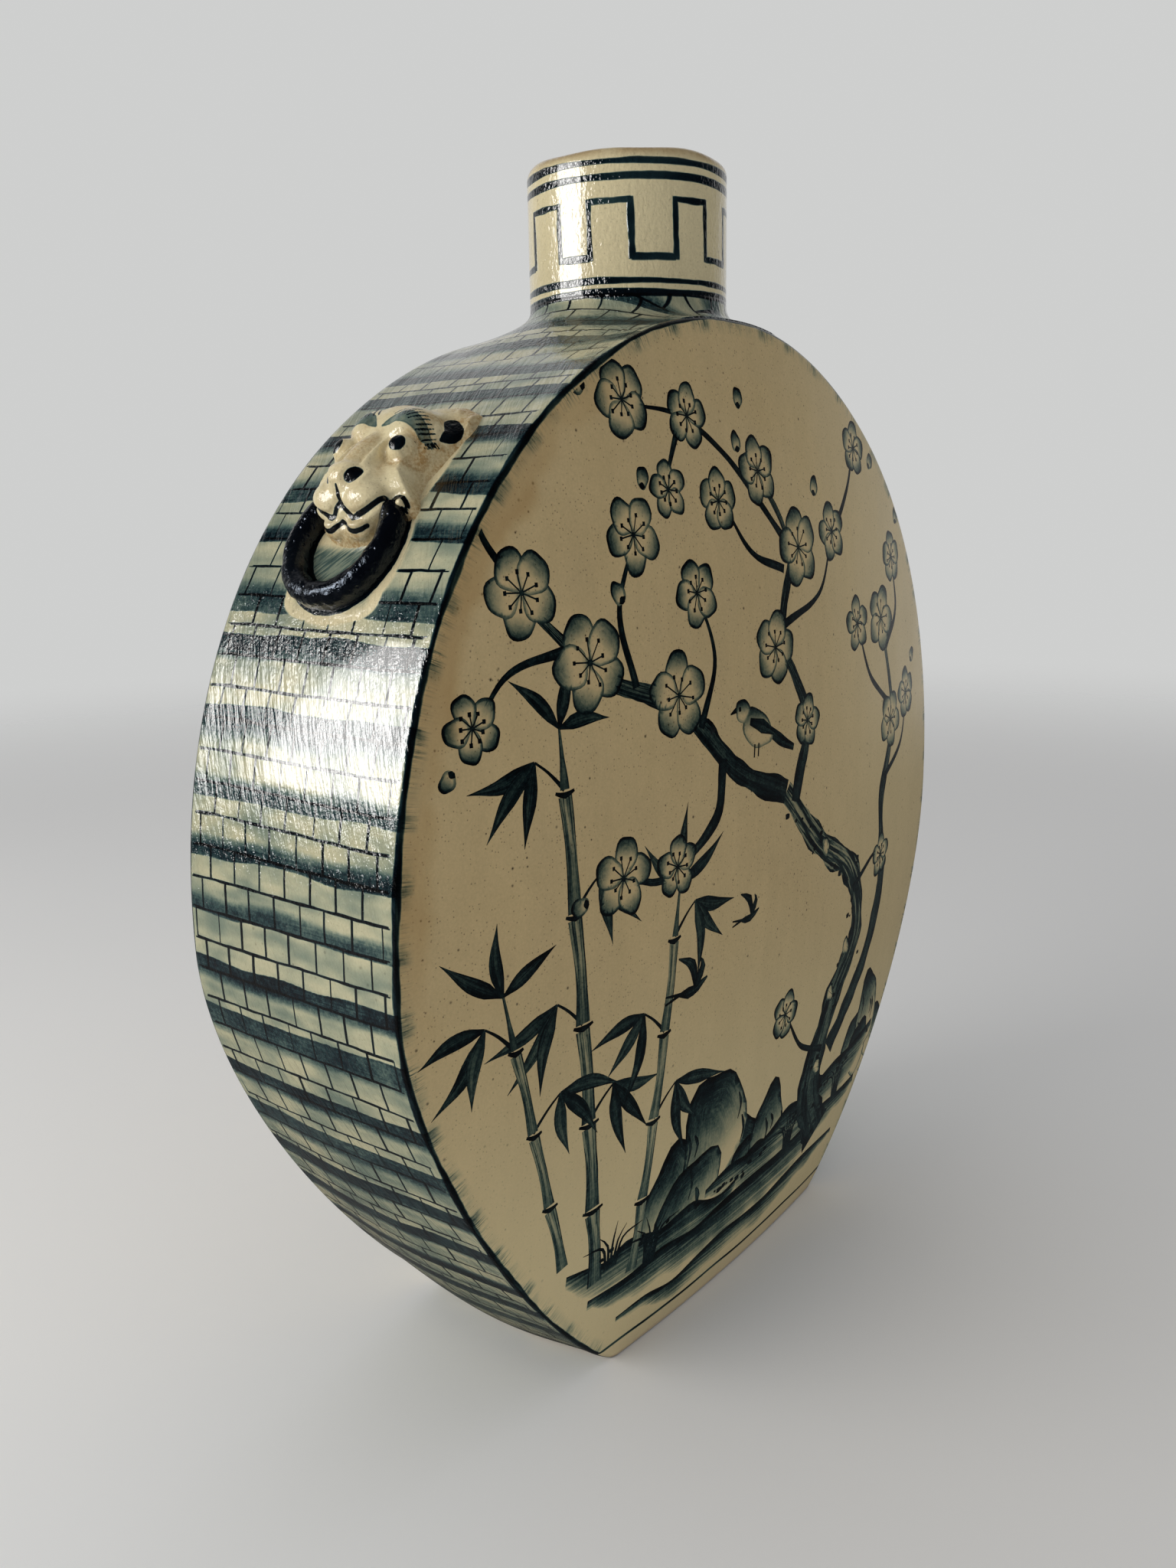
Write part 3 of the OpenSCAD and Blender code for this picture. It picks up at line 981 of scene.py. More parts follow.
def grass(art, x, z, count, height, spread):
    """A tuft of grass blades."""
    for k in range(count):
        share = k / (count - 1) - 0.5
        top = (x + share * spread * 2 + art.luck.gauss(0, 1), z + height * (1 - 0.7 * abs(share)))
        art.stroke([(x + share * 4, z), (x + share * spread * 0.7, z + height * 0.55), top],
                   [1.3, 1.1, 0.8, 0.2], tone=1.0, dry=0.2, step=2.0)


def rock(art, x, z, width, height):
    """A rock in a few lobes, with a dark crest, a fading wash and cracks."""
    lobes = ((-0.55, 0.25, 0.5, 0.55), (0.5, 0.18, 0.55, 0.5), (0.02, 0.5, 0.62, 0.8), (-0.22, 0.1, 0.6, 0.5))
    for dx, dz, rx, rz in lobes:
        middle = (x + dx * width, z + dz * height)
        art.lobe(middle, (rx * width * 0.8, rz * height * 0.75), 0.25 * dx, rim=1.2, wash=1.15,
                 aim=math.pi * (0.5 + 0.14 * (1 if dx < 0.3 else -1)), clear=0.75, lumps=0.1)
    for k in range(7):
        cx = x + (art.luck.random() - 0.45) * width * 1.1
        cz = z + (0.15 + 0.7 * art.luck.random()) * height
        drop = height * (0.16 + 0.2 * art.luck.random())
        art.stroke([(cx, cz), (cx + 2.0, cz - drop * 0.5), (cx + 1.0, cz - drop)],
                   [0.5, 1.6, 1.0, 0.4], tone=1.0, dry=0.4, step=1.5)


def bird_on_branch(art, x, z, size, facing):
    """A small bird that sits on the branch: round body, tail, wing, head and beak."""
    f = facing
    art.stroke([(x - f * size * 0.5, z - size * 0.1), (x - f * size * 1.3, z - size * 0.55),
                (x - f * size * 1.9, z - size * 0.8)], [size * 0.28, size * 0.34, size * 0.2], tone=1.15, dry=0.4)
    art.lobe((x, z), (size * 0.78, size * 0.5), f * 0.45, rim=1.0, wash=0.8, aim=math.pi / 2, clear=0.6)
    art.stroke([(x + f * size * 0.35, z + size * 0.22), (x - f * size * 0.25, z + size * 0.02),
                (x - f * size * 0.85, z - size * 0.25)], [size * 0.2, size * 0.42, size * 0.12],
               tone=1.15, dry=0.35)
    art.lobe((x + f * size * 0.68, z + size * 0.55), (size * 0.34, size * 0.31), 0, rim=1.1, wash=1.2,
             aim=math.pi / 2, clear=0.7)
    art.stroke([(x + f * size * 0.98, z + size * 0.6), (x + f * size * 1.25, z + size * 0.52)],
               [size * 0.16, size * 0.04], tone=1.3, step=0.8)
    art.stroke([(x + f * size * 0.76, z + size * 0.6), (x + f * size * 0.86, z + size * 0.6)],
               [size * 0.12, size * 0.12], tone=1.5, step=0.5)
    for leg in (-0.05, 0.15):
        art.stroke([(x + f * size * leg, z - size * 0.4), (x + f * size * (leg + 0.05), z - size * 0.75)],
                   [0.8, 0.7], tone=1.1, step=1.0)


def flying_bird(art, x, z, size, facing):
    """A bird in flight, in five strokes."""
    f = facing
    art.stroke([(x - f * size * 0.6, z + size * 0.05), (x, z), (x + f * size * 0.55, z + size * 0.2)],
               [size * 0.05, size * 0.3, size * 0.24, size * 0.06], tone=1.1, dry=0.3)
    for lift, sweep in ((0.95, -0.35), (0.75, 0.5)):
        art.stroke([(x + f * size * 0.1, z + size * 0.1), (x + f * size * (0.1 + sweep * 0.5), z + size * lift * 0.7),
                    (x + f * size * (sweep - 0.25), z + size * lift)], [size * 0.16, size * 0.3, size * 0.04],
                   tone=1.15, dry=0.4)
    for drop in (-0.05, 0.14):
        art.stroke([(x - f * size * 0.5, z + size * 0.05), (x - f * size * 1.05, z + size * drop)],
                   [size * 0.1, size * 0.05], tone=1.1)


def ground_stroke(art, start, end, width, tone=1.0, lump=1.6):
    """A long stroke of ground: its top edge is dark and lumpy, and its wash fades downwards."""
    count = 11
    knots = []
    for k in range(count):
        share = k / (count - 1)
        rise = start[1] + (end[1] - start[1]) * share + lump * math.sin(share * 17 + start[0]) * 0.6
        knots.append((start[0] + (end[0] - start[0]) * share, rise + art.luck.gauss(0, lump * 0.5)))
    path = smooth_path(knots, 2.2)
    share = np.linspace(0, 1, len(path))
    depth = width * np.sin(np.pi * np.clip(share, 0.015, 0.985)) ** 0.5 * (1 + art.uneven(len(path), 0.12))
    lower = path - np.stack([np.zeros(len(path)), depth], axis=1)
    layers = [path + (lower - path) * k for k in (0, 0.16, 0.36, 0.6, 0.8, 1.0)]
    polygons = []
    for high, low in zip(layers, layers[1:]):
        polygons += [[low[i], low[i + 1], high[i + 1], high[i]] for i in range(len(path) - 1)]
    shift = art.luck.random() * 50

    def rule(points):
        top = np.interp(points[:, 0], path[:, 0], path[:, 1])
        deep = np.interp(points[:, 0], path[:, 0], depth)
        down = np.clip((top - points[:, 1]) / np.maximum(deep, 0.1), 0, 1)
        ink = STRENGTH * tone * (0.75 * (1 - down) + 0.45 * np.exp(-(down / 0.16) ** 2))
        return ink, points[:, 0] * 0.5 + shift, points[:, 1] * 0.3, 0.3 + 0.6 * down

    art.add(polygons, rule)


def moss_dots(art, knots, spread, count):
    """Dabs of the brush's tip along a line."""
    path = smooth_path(knots, 1.0)
    for _ in range(count):
        x, z = path[int(art.luck.random() * len(path))]
        x += art.luck.gauss(0, spread)
        z += art.luck.gauss(0, spread)
        size = 0.9 + 1.3 * art.luck.random()
        art.stroke([(x - size * 0.6, z), (x + size * 0.6, z + art.luck.gauss(0, 0.3))],
                   [size * 0.7, size, size * 0.6], tone=1.1, step=0.7)


def plum_and_bamboo(seed, turn_round):
    """The painting of one face: an old plum in blossom, bamboo, a rock and birds."""
    art = Painting(seed)
    rock(art, -24, 36, 34, 42)
    rock(art, 10, 32, 22, 28)
    rock(art, 88, 44, 22, 30)
    for start, end, width, tone in (
            ((-24, 41), (98, 54), 19, 1.1), ((-86, 42), (-6, 36), 17, 1.1), ((-76, 28), (86, 36), 15, 1.25),
            ((-62, 15), (70, 21), 9, 1.2)):
        ground_stroke(art, start, end, width, tone)
    bamboo(art, -74, 34, -0.16, 5, 25, 5.2, tone=0.8)
    bamboo(art, -58, 30, 0.05, 4, 22, 4.4, tone=0.62)
    bamboo(art, -88, 46, -0.3, 3, 22, 3.6, tone=0.7)
    trunk = [(52, 26), (40, 50), (50, 78), (66, 100), (56, 124), (30, 140), (8, 160)]
    moss_dots(art, [(-80, 41), (-10, 37), (60, 46), (96, 52)], 1.2, 46)
    art.stroke([(52, 60), (76, 84), (88, 112), (84, 142), (94, 172), (84, 205)],
               [9, 8, 6.5, 5, 3.6, 2.0], tone=1.0, dry=0.6, step=2.4, wobble=0.2)
    art.stroke(trunk, [20, 15, 13.5, 12.5, 10.5, 9, 7.5], tone=1.1, dry=0.85, step=2.2, wobble=0.24, body=0.35)
    art.stroke([(8, 160), (-20, 172), (-44, 192), (-74, 204), (-98, 224)],
               [7.5, 6.4, 5.2, 4.2, 2.2], tone=1.1, dry=0.6, step=2.2, wobble=0.2)
    art.stroke([(14, 156), (22, 182), (8, 206), (16, 232), (2, 254)],
               [6.0, 5.0, 4.2, 3.2, 1.6], tone=1.1, dry=0.6, step=2.2, wobble=0.2)
    art.stroke([(-26, 176), (-30, 160), (-52, 148), (-70, 152)], [4.4, 3.6, 2.8, 1.4], tone=1.1, dry=0.3,
               step=2.2, wobble=0.12)
    twigs = (
        ((-62, 200), (-66, 220), (-56, 240)), ((-84, 212), (-104, 208), (-116, 196)),
        ((-36, 186), (-28, 204), (-34, 222)), ((10, 210), (34, 218), (46, 236)),
        ((12, 226), (-6, 232), (-18, 246)), ((86, 150), (104, 160), (110, 176)),
        ((90, 176), (72, 188), (62, 206)), ((88, 196), (100, 208), (98, 226)),
        ((60, 116), (78, 124), (84, 122)), ((46, 62), (28, 70), (16, 84)),
        ((12, 236), (-14, 258), (-34, 268), (-56, 270)), ((46, 234), (62, 250), (70, 264)),
        ((-34, 266), (-40, 256), (-42, 250)), ((-98, 226), (-108, 240), (-106, 252)),
    )
    for knots in twigs:
        art.stroke(knots, [2.6, 1.9, 0.8], tone=1.1, dry=0.25, step=2.0, wobble=0.1)
    for x, z in ((44, 56), (58, 96), (36, 137), (48, 82)):
        art.lobe((x, z), (2.6, 3.6), 0.5, rim=1.3, wash=0.1, lumps=0.1)
    flowers = (
        (-98, 226, 10.5), (-78, 208, 12.0), (-58, 238, 10.0), (-45, 196, 11.5), (-34, 222, 9.0),
        (-70, 152, 10.5), (-48, 150, 8.5), (-116, 197, 8.0), (2, 254, 9.5), (22, 232, 11.5),
        (4, 204, 10.5), (46, 236, 9.0), (-20, 246, 8.5), (84, 206, 11.0), (62, 206, 9.0),
        (-56, 271, 9.5), (-30, 268, 8.5), (70, 262, 8.5), (-42, 249, 7.5),
        (98, 226, 8.5), (110, 177, 9.0), (92, 170, 10.0), (14, 86, 8.0), (86, 122, 8.0), (22, 180, 8.0),
    )
    for x, z, size in flowers:
        blossom(art, x, z, size, art.luck.random() * 2, 0.85 + 0.25 * art.luck.random())
    for x, z, size, turn in ((-106, 254, 3.4, 1.7), (-72, 274, 3.2, 3.0), (-4, 274, 3.0, 1.4), (84, 258, 3.0, 0.7), (-66, 224, 3.2, 2.2), (-52, 252, 3.0, 1.3),
                             (-86, 148, 3.2, 3.3), (36, 250, 3.2, 1.2), (-8, 262, 3.0, 1.8),
                             (106, 240, 3.0, 1.4), (118, 190, 3.0, 0.9), (-124, 186, 2.8, 4.0)):
        bud(art, x, z, size, turn)
    moss_dots(art, trunk, 4.4, 40)
    for x, z, count, height in ((-50, 28, 6, 19), (28, 30, 7, 17), (66, 34, 6, 18), (-68, 36, 5, 15)):
        grass(art, x, z, count, height, 12)
    bird_on_branch(art, -8, 182, 11, -1)
    flying_bird(art, -40, 112, 12, 1)
    flying_bird(art, -12, 126, 9, 1)
    if turn_round:
        art.polygons = [p * np.array([-1.0, 1.0]) for p in art.polygons]
        art.extra = [p * np.array([-1.0, 1.0]) for p in art.extra]
        art.rules = [lambda points, rule=rule: rule(points * np.array([-1.0, 1.0])) for rule in art.rules]
    return art


# The clay pieces
SECTION_STEPS = 8
RIM_ROWS = 5
SEAM_ARCS = np.concatenate([-np.arange(FOOT_ARC + 8, 0, -1.6)[:-1], [0.0], np.arange(FOOT_ARC + 8, 0, -1.6)[:-1][::-1]])


def counter_clockwise(polygon):
    x, y = polygon[:, 0], polygon[:, 1]
    area = np.dot(x, np.roll(y, -1)) - np.dot(y, np.roll(x, -1))
    return polygon if area > 0 else polygon[::-1]


def painted_sheet(border, art):
    """Triangles of the face with every stroke's edge in them, and the stroke on top at each."""
    points = [Vector(p) for p in counter_clockwise(border)]
    faces = [list(range(len(border)))]
    owners = [-1]
    spacing = 4.0
    low, high = border.min(0), border.max(0)
    for polygon, owner in zip(art.polygons, art.owners):
        polygon = counter_clockwise(polygon)
        first = len(points)
        points += [Vector(p) for p in polygon]
        faces.append(list(range(first, first + len(polygon))))
        owners.append(owner)
    for i, x in enumerate(np.arange(low[0] + 1, high[0], spacing)):
        for z in np.arange(low[1] + 1 + spacing / 2 * (i % 2), high[1], spacing):
            points.append(Vector((x, z)))
    for ring in art.extra:
        points += [Vector(p) for p in ring]
    verts, _, triangles, _, _, origin = delaunay_2d_cdt(points, [], faces, 1, 1e-4, True)
    top = [max((owners[k] for k in ids), default=-1) for ids in origin]
    inside = [0 in ids for ids in origin]
    kept = [t for t, ok in zip(triangles, inside) if ok]
    top = [o for o, ok in zip(top, inside) if ok]
    return np.array([list(v) for v in verts]), kept, np.array(top)


def fill_brush(mesh, flat, art, tops):
    """Each face corner gets the ink of the stroke on top there."""
    corners = corner_points(mesh)
    per_face = np.zeros(len(mesh.polygons), dtype=np.int64)
    mesh.polygons.foreach_get("loop_total", per_face)
    owner = np.repeat(tops, per_face)
    brush = np.zeros((len(corners), 3))
    dry = np.zeros(len(corners))
    for number, rule in enumerate(art.rules):
        mine = np.nonzero(owner == number)[0]
        if len(mine):
            ink, along, over, worn = rule(flat[corners[mine]])
            brush[mine] = np.stack([ink, along, over], axis=1)
            dry[mine] = worn
    layer = mesh.attributes.new("brush", "FLOAT_VECTOR", "CORNER")
    layer.data.foreach_set("vector", brush.astype(np.float32).ravel())
    layer = mesh.attributes.new("dry", "FLOAT", "CORNER")
    layer.data.foreach_set("value", dry.astype(np.float32))


def cut_at_foot(piece):
    """What is below the foot is cut off, and the cut is closed."""
    pick(piece)
    bpy.ops.object.mode_set(mode="EDIT")
    bpy.ops.mesh.select_all(action="SELECT")
    bpy.ops.mesh.bisect(plane_co=(0, 0, 0), plane_no=(0, 0, -1), use_fill=True, clear_outer=True,
                        threshold=1e-6)
    bpy.ops.object.mode_set(mode="OBJECT")


def thicken(piece, wall, inner):
    """The sheet gets its wall on the inside, and the inner faces get the last material."""
    piece.data.materials.append(inner)
    shell = piece.modifiers.new("wall", "SOLIDIFY")
    shell.material_offset = len(piece.data.materials)
    shell.thickness = wall * MM
    shell.offset = -1
    shell.use_rim = True
    apply_all(piece)


def hold_inside(mesh):
    """No point of a panel stands outside the body's outline."""
    points = coordinates(mesh)
    middle = np.array([0, WAIST_Z])
    curve = np.stack([OUT_X, OUT_Z], axis=1) - middle
    angles = np.arctan2(curve[:, 1], curve[:, 0])[::-1]
    reach = np.hypot(curve[:, 0], curve[:, 1])[::-1]
    rel = points[:, [0, 2]] - middle
    size = np.hypot(rel[:, 0], rel[:, 1])
    limit = np.interp(np.arctan2(rel[:, 1], np.abs(rel[:, 0])), angles, reach)
    bulge = FOOT_BULGE * np.clip(1 - points[:, 2] / BULGE_Z, 0, 1.05) ** 2
    shrink = np.minimum(1, (limit + bulge + 0.02) / np.maximum(size, 1))
    points[:, 0] = rel[:, 0] * shrink
    points[:, 2] = rel[:, 1] * shrink + WAIST_Z
    points[:, 1] = np.clip(points[:, 1], -BOX_HALF_Y, BOX_HALF_Y)
    set_coordinates(mesh, points)


def face_panel(name, node, front, art, materials, inner):
    """A domed face with its rounded corner and the rim that turns back to the band."""
    sign = 1 if front else -1
    arcs = SEAM_ARCS
    section = seam_section(arcs, SECTION_STEPS)
    border = section[-1][0][:, [0, 2]]
    flat, triangles, tops = painted_sheet(border, art)
    depth = -face_depth(flat[:, 0], flat[:, 1])
    dome = np.stack([flat[:, 0], depth, flat[:, 1]], axis=1)
    along, away = from_path(flat, border)
    edge_way = section[-1][1].mean()
    near_arc = np.interp(along, run_lengths(border), arcs)
    dome_band = np.stack([np.abs(near_arc), -seam_half(near_arc) - np.abs(away), edge_way + np.abs(away)], axis=1)
    points = list(dome)
    band = list(dome_band)
    faces = [list(t) for t in triangles]
    # Rows of the corner and the rim, outwards from the dome's edge
    rows = []
    for ring, way in section[::-1]:
        rows.append((ring, way))
    last = section[0][0]
    corner_way = section[0][1]
    for share in np.linspace(0, 1, RIM_ROWS)[1:]:
        y = last[:, 1] + (-STRIP_HALF - last[:, 1]) * share
        ring = band_point(arcs, y)
        rows.append((ring, corner_way - (y - last[:, 1])))
    start = len(points)
    count = len(arcs)
    for ring, way in rows:
        points += list(ring)
        across = np.clip(ring[:, 1], None, 0)
        band += list(np.stack([np.abs(arcs), across, way], axis=1))
    for r in range(len(rows) - 1):
        for i in range(count - 1):
            a = start + r * count + i
            faces.append([a, a + 1, a + count + 1, a + count])
    points = np.array(points)
    band = np.array(band)
    if not front:
        points[:, 1] *= -1
        band[:, 1] *= -1
    piece = new_piece(name, points, faces)
    mesh = piece.data
    set_point_vectors(mesh, "band", band)
    pad = np.full(len(mesh.polygons) - len(tops), -1)
    fill_brush(mesh, points[:, [0, 2]], art, np.concatenate([tops, pad]))
    for material in materials:
        mesh.materials.append(material)
    number = np.zeros(len(mesh.polygons), dtype=np.int32)
    number[len(tops) + (count - 1) * (SECTION_STEPS // 2):] = 1
    mesh.polygons.foreach_set("material_index", number)
    pick(piece)
    bpy.ops.object.mode_set(mode="EDIT")
    bpy.ops.mesh.select_all(action="SELECT")
    bpy.ops.mesh.remove_doubles(threshold=2e-6)
    bpy.ops.mesh.normals_make_consistent(inside=False)
    bpy.ops.object.mode_set(mode="OBJECT")
    towards = np.mean([p.normal.y for p in mesh.polygons[:200]])
    if towards * sign > 0:
        mesh.flip_normals()
    thicken(piece, FACE_WALL, inner)
    hold_inside(mesh)
    cut_at_foot(piece)
    smooth(piece, 50)
    return finish_piece(piece, "tan_glaze", node)


def wall_strip(name, node, side, material, inner):
    """A strip of clay laid along the outline, from under the neck to the foot."""
    first = SADDLE_HALF - 2
    deselect()
    rows = int((FOOT_ARC + 8 - first) / 1.6)
    columns = 28
    bpy.ops.mesh.primitive_grid_add(x_subdivisions=rows, y_subdivisions=columns, size=1)
    piece = bpy.context.object
    piece.name = name
    mesh = piece.data
    flat = coordinates(mesh) * MM
    arc = first + (flat[:, 0] + 0.5) * (FOOT_ARC + 8 - first)
    y = flat[:, 1] * 2 * STRIP_HALF * side
    set_coordinates(mesh, band_point(side * arc, y))
    edge = -(seam_half(arc) - np.abs(y))
    set_point_vectors(mesh, "band", np.stack([arc, y, edge], axis=1))
    mesh.materials.append(material)
    thicken(piece, BAND_WALL, inner)
    cut_at_foot(piece)
    smooth(piece, 50)
    return finish_piece(piece, "cream_glaze", node)


def body_top(x):
    """Height of the body's top over a place beside the middle."""
    return np.interp(np.abs(x), OUT_X[:3000], OUT_Z[:3000])


def neck_collar(material):
    """The thrown neck: a profile spun round, whose foot is then pressed onto the body."""
    turns = 144
    profile = [(MOUTH_R, 281.5), (MOUTH_R, 300), (MOUTH_R, 320), (MOUTH_R, RIM_Z - 1.0),
               (MOUTH_R + 0.35, RIM_Z - 0.25), (MOUTH_R + 1.2, RIM_Z)]
    lip = [(NECK_R - LIP_R + LIP_R * math.sin(a), RIM_Z - LIP_R + LIP_R * math.cos(a))
           for a in np.linspace(0, math.pi / 2, 8)]
    tube = [(NECK_R, z) for z in np.linspace(RIM_Z - LIP_R, SWEEP_TOP, 24)[1:]]
    profile += lip + tube
    sweep_rows = 14
    first_sweep = len(profile)
    profile += [(NECK_R + 0.6 * k, SWEEP_TOP - 0.3 * k) for k in range(1, sweep_rows + 1)]
    profile += [(NECK_R + 9.5, 288.5), (NECK_R - 2, 284.5), (NECK_R - 4, 281.5)]
    deselect()
    bpy.ops.mesh.primitive_plane_add(size=1)
    piece = bpy.context.object
    piece.name = "neck_collar_thrown"
    sheet = bmesh.new()
    ring = [sheet.verts.new((r * MM, 0, z * MM)) for r, z in profile]
    for a, b in zip(ring, ring[1:] + ring[:1]):
        sheet.edges.new((a, b))
    sheet.to_mesh(piece.data)
    sheet.free()
    pick(piece)
    bpy.ops.object.mode_set(mode="EDIT")
    bpy.ops.mesh.select_all(action="SELECT")
    bpy.ops.mesh.spin(steps=turns, angle=2 * math.pi, center=(0, 0, 0), axis=(0, 0, 1))
    bpy.ops.mesh.select_all(action="SELECT")
    bpy.ops.mesh.remove_doubles(threshold=1e-6)
    bpy.ops.mesh.normals_make_consistent(inside=False)
    bpy.ops.object.mode_set(mode="OBJECT")
    mesh = piece.data
    points = coordinates(mesh)
    radius = np.hypot(points[:, 0], points[:, 1])
    angle = np.arctan2(points[:, 1], points[:, 0])
    reach = np.minimum(SWEEP_END_R + SWEEP_LONG * np.abs(np.cos(angle)) ** 3,
                       35.6 / np.maximum(np.abs(np.sin(angle)), 1e-6))
    step = (radius - NECK_R) / 0.6
    on_sweep = (radius > NECK_R + 0.3) & (points[:, 2] > 290) & (points[:, 2] < SWEEP_TOP - 0.1)
    share = np.clip(step / sweep_rows, 0, 1)
    end_z = body_top(reach * np.cos(angle))
    ahead = body_top(reach * np.cos(angle) + 0.5 * np.cos(angle))
    slope = (ahead - end_z) / 0.5
    run = reach - NECK_R
    # A cubic from straight down at the neck to the body's own slope
    a, b = (1 - share), share
    new_r = a ** 3 * NECK_R + 3 * a * a * b * NECK_R + 3 * a * b * b * (reach - run * 0.5) + b ** 3 * reach
    new_z = (a ** 3 * SWEEP_TOP + 3 * a * a * b * (SWEEP_TOP - 5.5)
             + 3 * a * b * b * (end_z - slope * run * 0.5 + 0.05 * run) + b ** 3 * end_z)
    points[on_sweep, 0] = (new_r * np.cos(angle))[on_sweep]
    points[on_sweep, 1] = (new_r * np.sin(angle))[on_sweep]
    points[on_sweep, 2] = (new_z + 0.03)[on_sweep]
    skirt = (points[:, 2] < 290) & (radius > NECK_R + 5)
    under = reach + 0.5
    points[skirt, 0] = (under * np.cos(angle))[skirt]
    points[skirt, 1] = (under * np.sin(angle))[skirt]
    points[skirt, 2] = (end_z - 1.0)[skirt]
    waver = (0.25 * np.sin(3 * angle + 0.6) + 0.18 * np.sin(7 * angle + 2.0)) - 0.43
    lifted = np.clip((points[:, 2] - (RIM_Z - 8)) / 8, 0, 1)
    points[:, 2] += waver * lifted
    set_coordinates(mesh, points)
    climb = np.maximum(points[:, 2] - body_top(points[:, 0]), 0)
    side = np.where(points[:, 0] < 0, 1, -1)
    arc = side * np.interp(np.abs(points[:, 0]), OUT_X[:3000], ARC[:3000])
    arc -= side * climb * 1.1 * np.abs(np.cos(angle))
    half = seam_half(np.clip(np.abs(points[:, 0]), 0, 60))
    edge = -(half - np.abs(points[:, 1])) - climb * 0.5
    set_point_vectors(mesh, "band", np.stack([arc, points[:, 1], edge], axis=1))
    mesh.materials.append(material)
    smooth(piece, 40)
    return finish_piece(piece, "cream_glaze", "neck_collar")


# Places on the left shoulder, in millimetres: X up the band, Y across it, Z outwards
def shoulder_frame(z):
    """The frame that stands on the left shoulder at a height."""
    arc = float(np.interp(-z, -OUT_Z[:3500], ARC[:3500]))
    x, _, nx, nz = outline_at(np.array([-arc]))
    out = Vector((float(nx[0]), 0, float(nz[0])))
    across = Vector((0, 1, 0))
    up = across.cross(out)
    turned = Matrix((up, across, out)).transposed().to_4x4()
    return Matrix.Translation(Vector((float(x[0]), 0, z))) @ turned, arc


def above_band(points):
    """How far each point is outside the left band, and the way out there."""
    curve = np.stack([-OUT_X, OUT_Z], axis=1)[200:4000:2]
    outward = np.stack([-OUT_NX, OUT_NZ], axis=1)[200:4000:2]
    nearest = np.zeros(len(points), dtype=np.int64)
    for start in range(0, len(points), 4000):
        part = points[start:start + 4000][:, [0, 2]]
        gap = ((part[:, None, :] - curve[None]) ** 2).sum(2)
        nearest[start:start + 4000] = gap.argmin(1)
    rel = points[:, [0, 2]] - curve[nearest]
    height = (rel * outward[nearest]).sum(1)
    return height, outward[nearest]


def press_on_band(mesh, depth=0.3):
    """What reaches into the band is pressed flat, just under its surface."""
    points = coordinates(mesh)
    height, way = above_band(points)
    push = np.where(height < -depth, -depth - height, 0)
    points[:, 0] += way[:, 0] * push
    points[:, 2] += way[:, 1] * push
    set_coordinates(mesh, points)


def add_ball(at, radii, tip=0.0, turn=0.0):
    """A ball drawn out along its axes, tipped about Y and then turned about Z, in millimetres."""
    bpy.ops.mesh.primitive_uv_sphere_add(segments=40, ring_count=24, radius=1)
    ball = bpy.context.object
    drawn = Matrix.Diagonal((*(Vector(radii) * MM), 1))
    turned = Matrix.Rotation(turn, 4, "Z") @ Matrix.Rotation(tip, 4, "Y")
    ball.data.transform(Matrix.Translation(Vector(at) * MM) @ turned @ drawn)
    return ball


def both_sides(at, radii, tip=0.0, turn=0.0):
    """A ball and its twin across the lion's middle."""
    x, y, z = at
    return [(at, radii, tip, turn), ((x, -y, z), radii, tip, -turn)]


def lion_forms():
    """The large forms of the lion's head, which melt into each other."""
    forms = [
        ((2.5, 0, -33), (40, 40, 40)),
        ((7.6, 0, 1.3), (10.2, 11.0, 9.3)),
        ((-11.0, 0, 2.0), (9.4, 11.8, 9.4)),
        ((-1, 0, 2.8), (13, 6.0, 7.8), 0.2),
        ((-18.0, 0, -0.8), (4.6, 8.4, 4.6)),
    ]
    forms += both_sides((6.6, 6.4, 3.4), (8.4, 7.2, 7.6))
    forms += both_sides((-4.0, 11.0, -2.4), (12.0, 10.2, 10.4))
    forms += both_sides((-3.0, 6.0, 1.0), (9.0, 5.0, 7.2))
    forms += both_sides((6.5, 9.0, 0.6), (4.5, 8.0, 6.6), 0.0, -0.2)
    forms += both_sides((10.6, 14.8, -3.3), (10.0, 6.2, 5.8), 0.0, -0.35)
    return forms


def lion_features():
    """The small forms that are pressed onto the head: eyes, nose, lips, brows and ears."""
    forms = [
        ((-3.0, 0, 6.6), (12.5, 4.6, 5.2), 0.24),
        ((-11.6, 0, 7.2), (5.0, 8.0, 6.3)),
    ]
    forms += both_sides((-3.4, 4.6, 7.6), (9.6, 1.3, 3.2), 0.24, -0.04)
    forms += both_sides((-14.6, 5.2, 4.4), (5.0, 6.8, 5.7))
    forms += both_sides((-0.7, 9.5, 7.1), (3.9, 3.9, 3.9))
    forms += both_sides((7.2, 8.4, 3.2), (2.9, 7.0, 3.4), 0.0, -0.3)
    forms += both_sides((11.6, 18.3, -0.9), (7.4, 1.5, 3.0), 0.0, -0.3)
    forms += both_sides((15.6, 12.8, 0.0), (4.8, 1.6, 2.4), 0.0, -0.3)
    forms += both_sides((-19.8, 3.9, 1.4), (3.0, 4.0, 3.5))
    forms += both_sides((-13.0, 14.6, 1.8), (2.3, 4.4, 3.1), 0.0, 0.2)
    return forms


# The mask's edge on the band, as places up the band and across it, from the crown round to the chin
MASK_EDGE = ((17.6, 0.0), (18.6, 7.0), (21.8, 13.0), (19.6, 17.4), (14.2, 18.9), (9.5, 18.4), (5.8, 17.6), (2.8, 17.0),
             (-3.8, 15.2), (-8.7, 15.2), (-12.8, 17.9), (-15.4, 17.6), (-18.5, 16.8), (-30.0, 14.0), (-33.0, 0.0))
MASK_HUB = 2.0
BAND_CURVE = 130

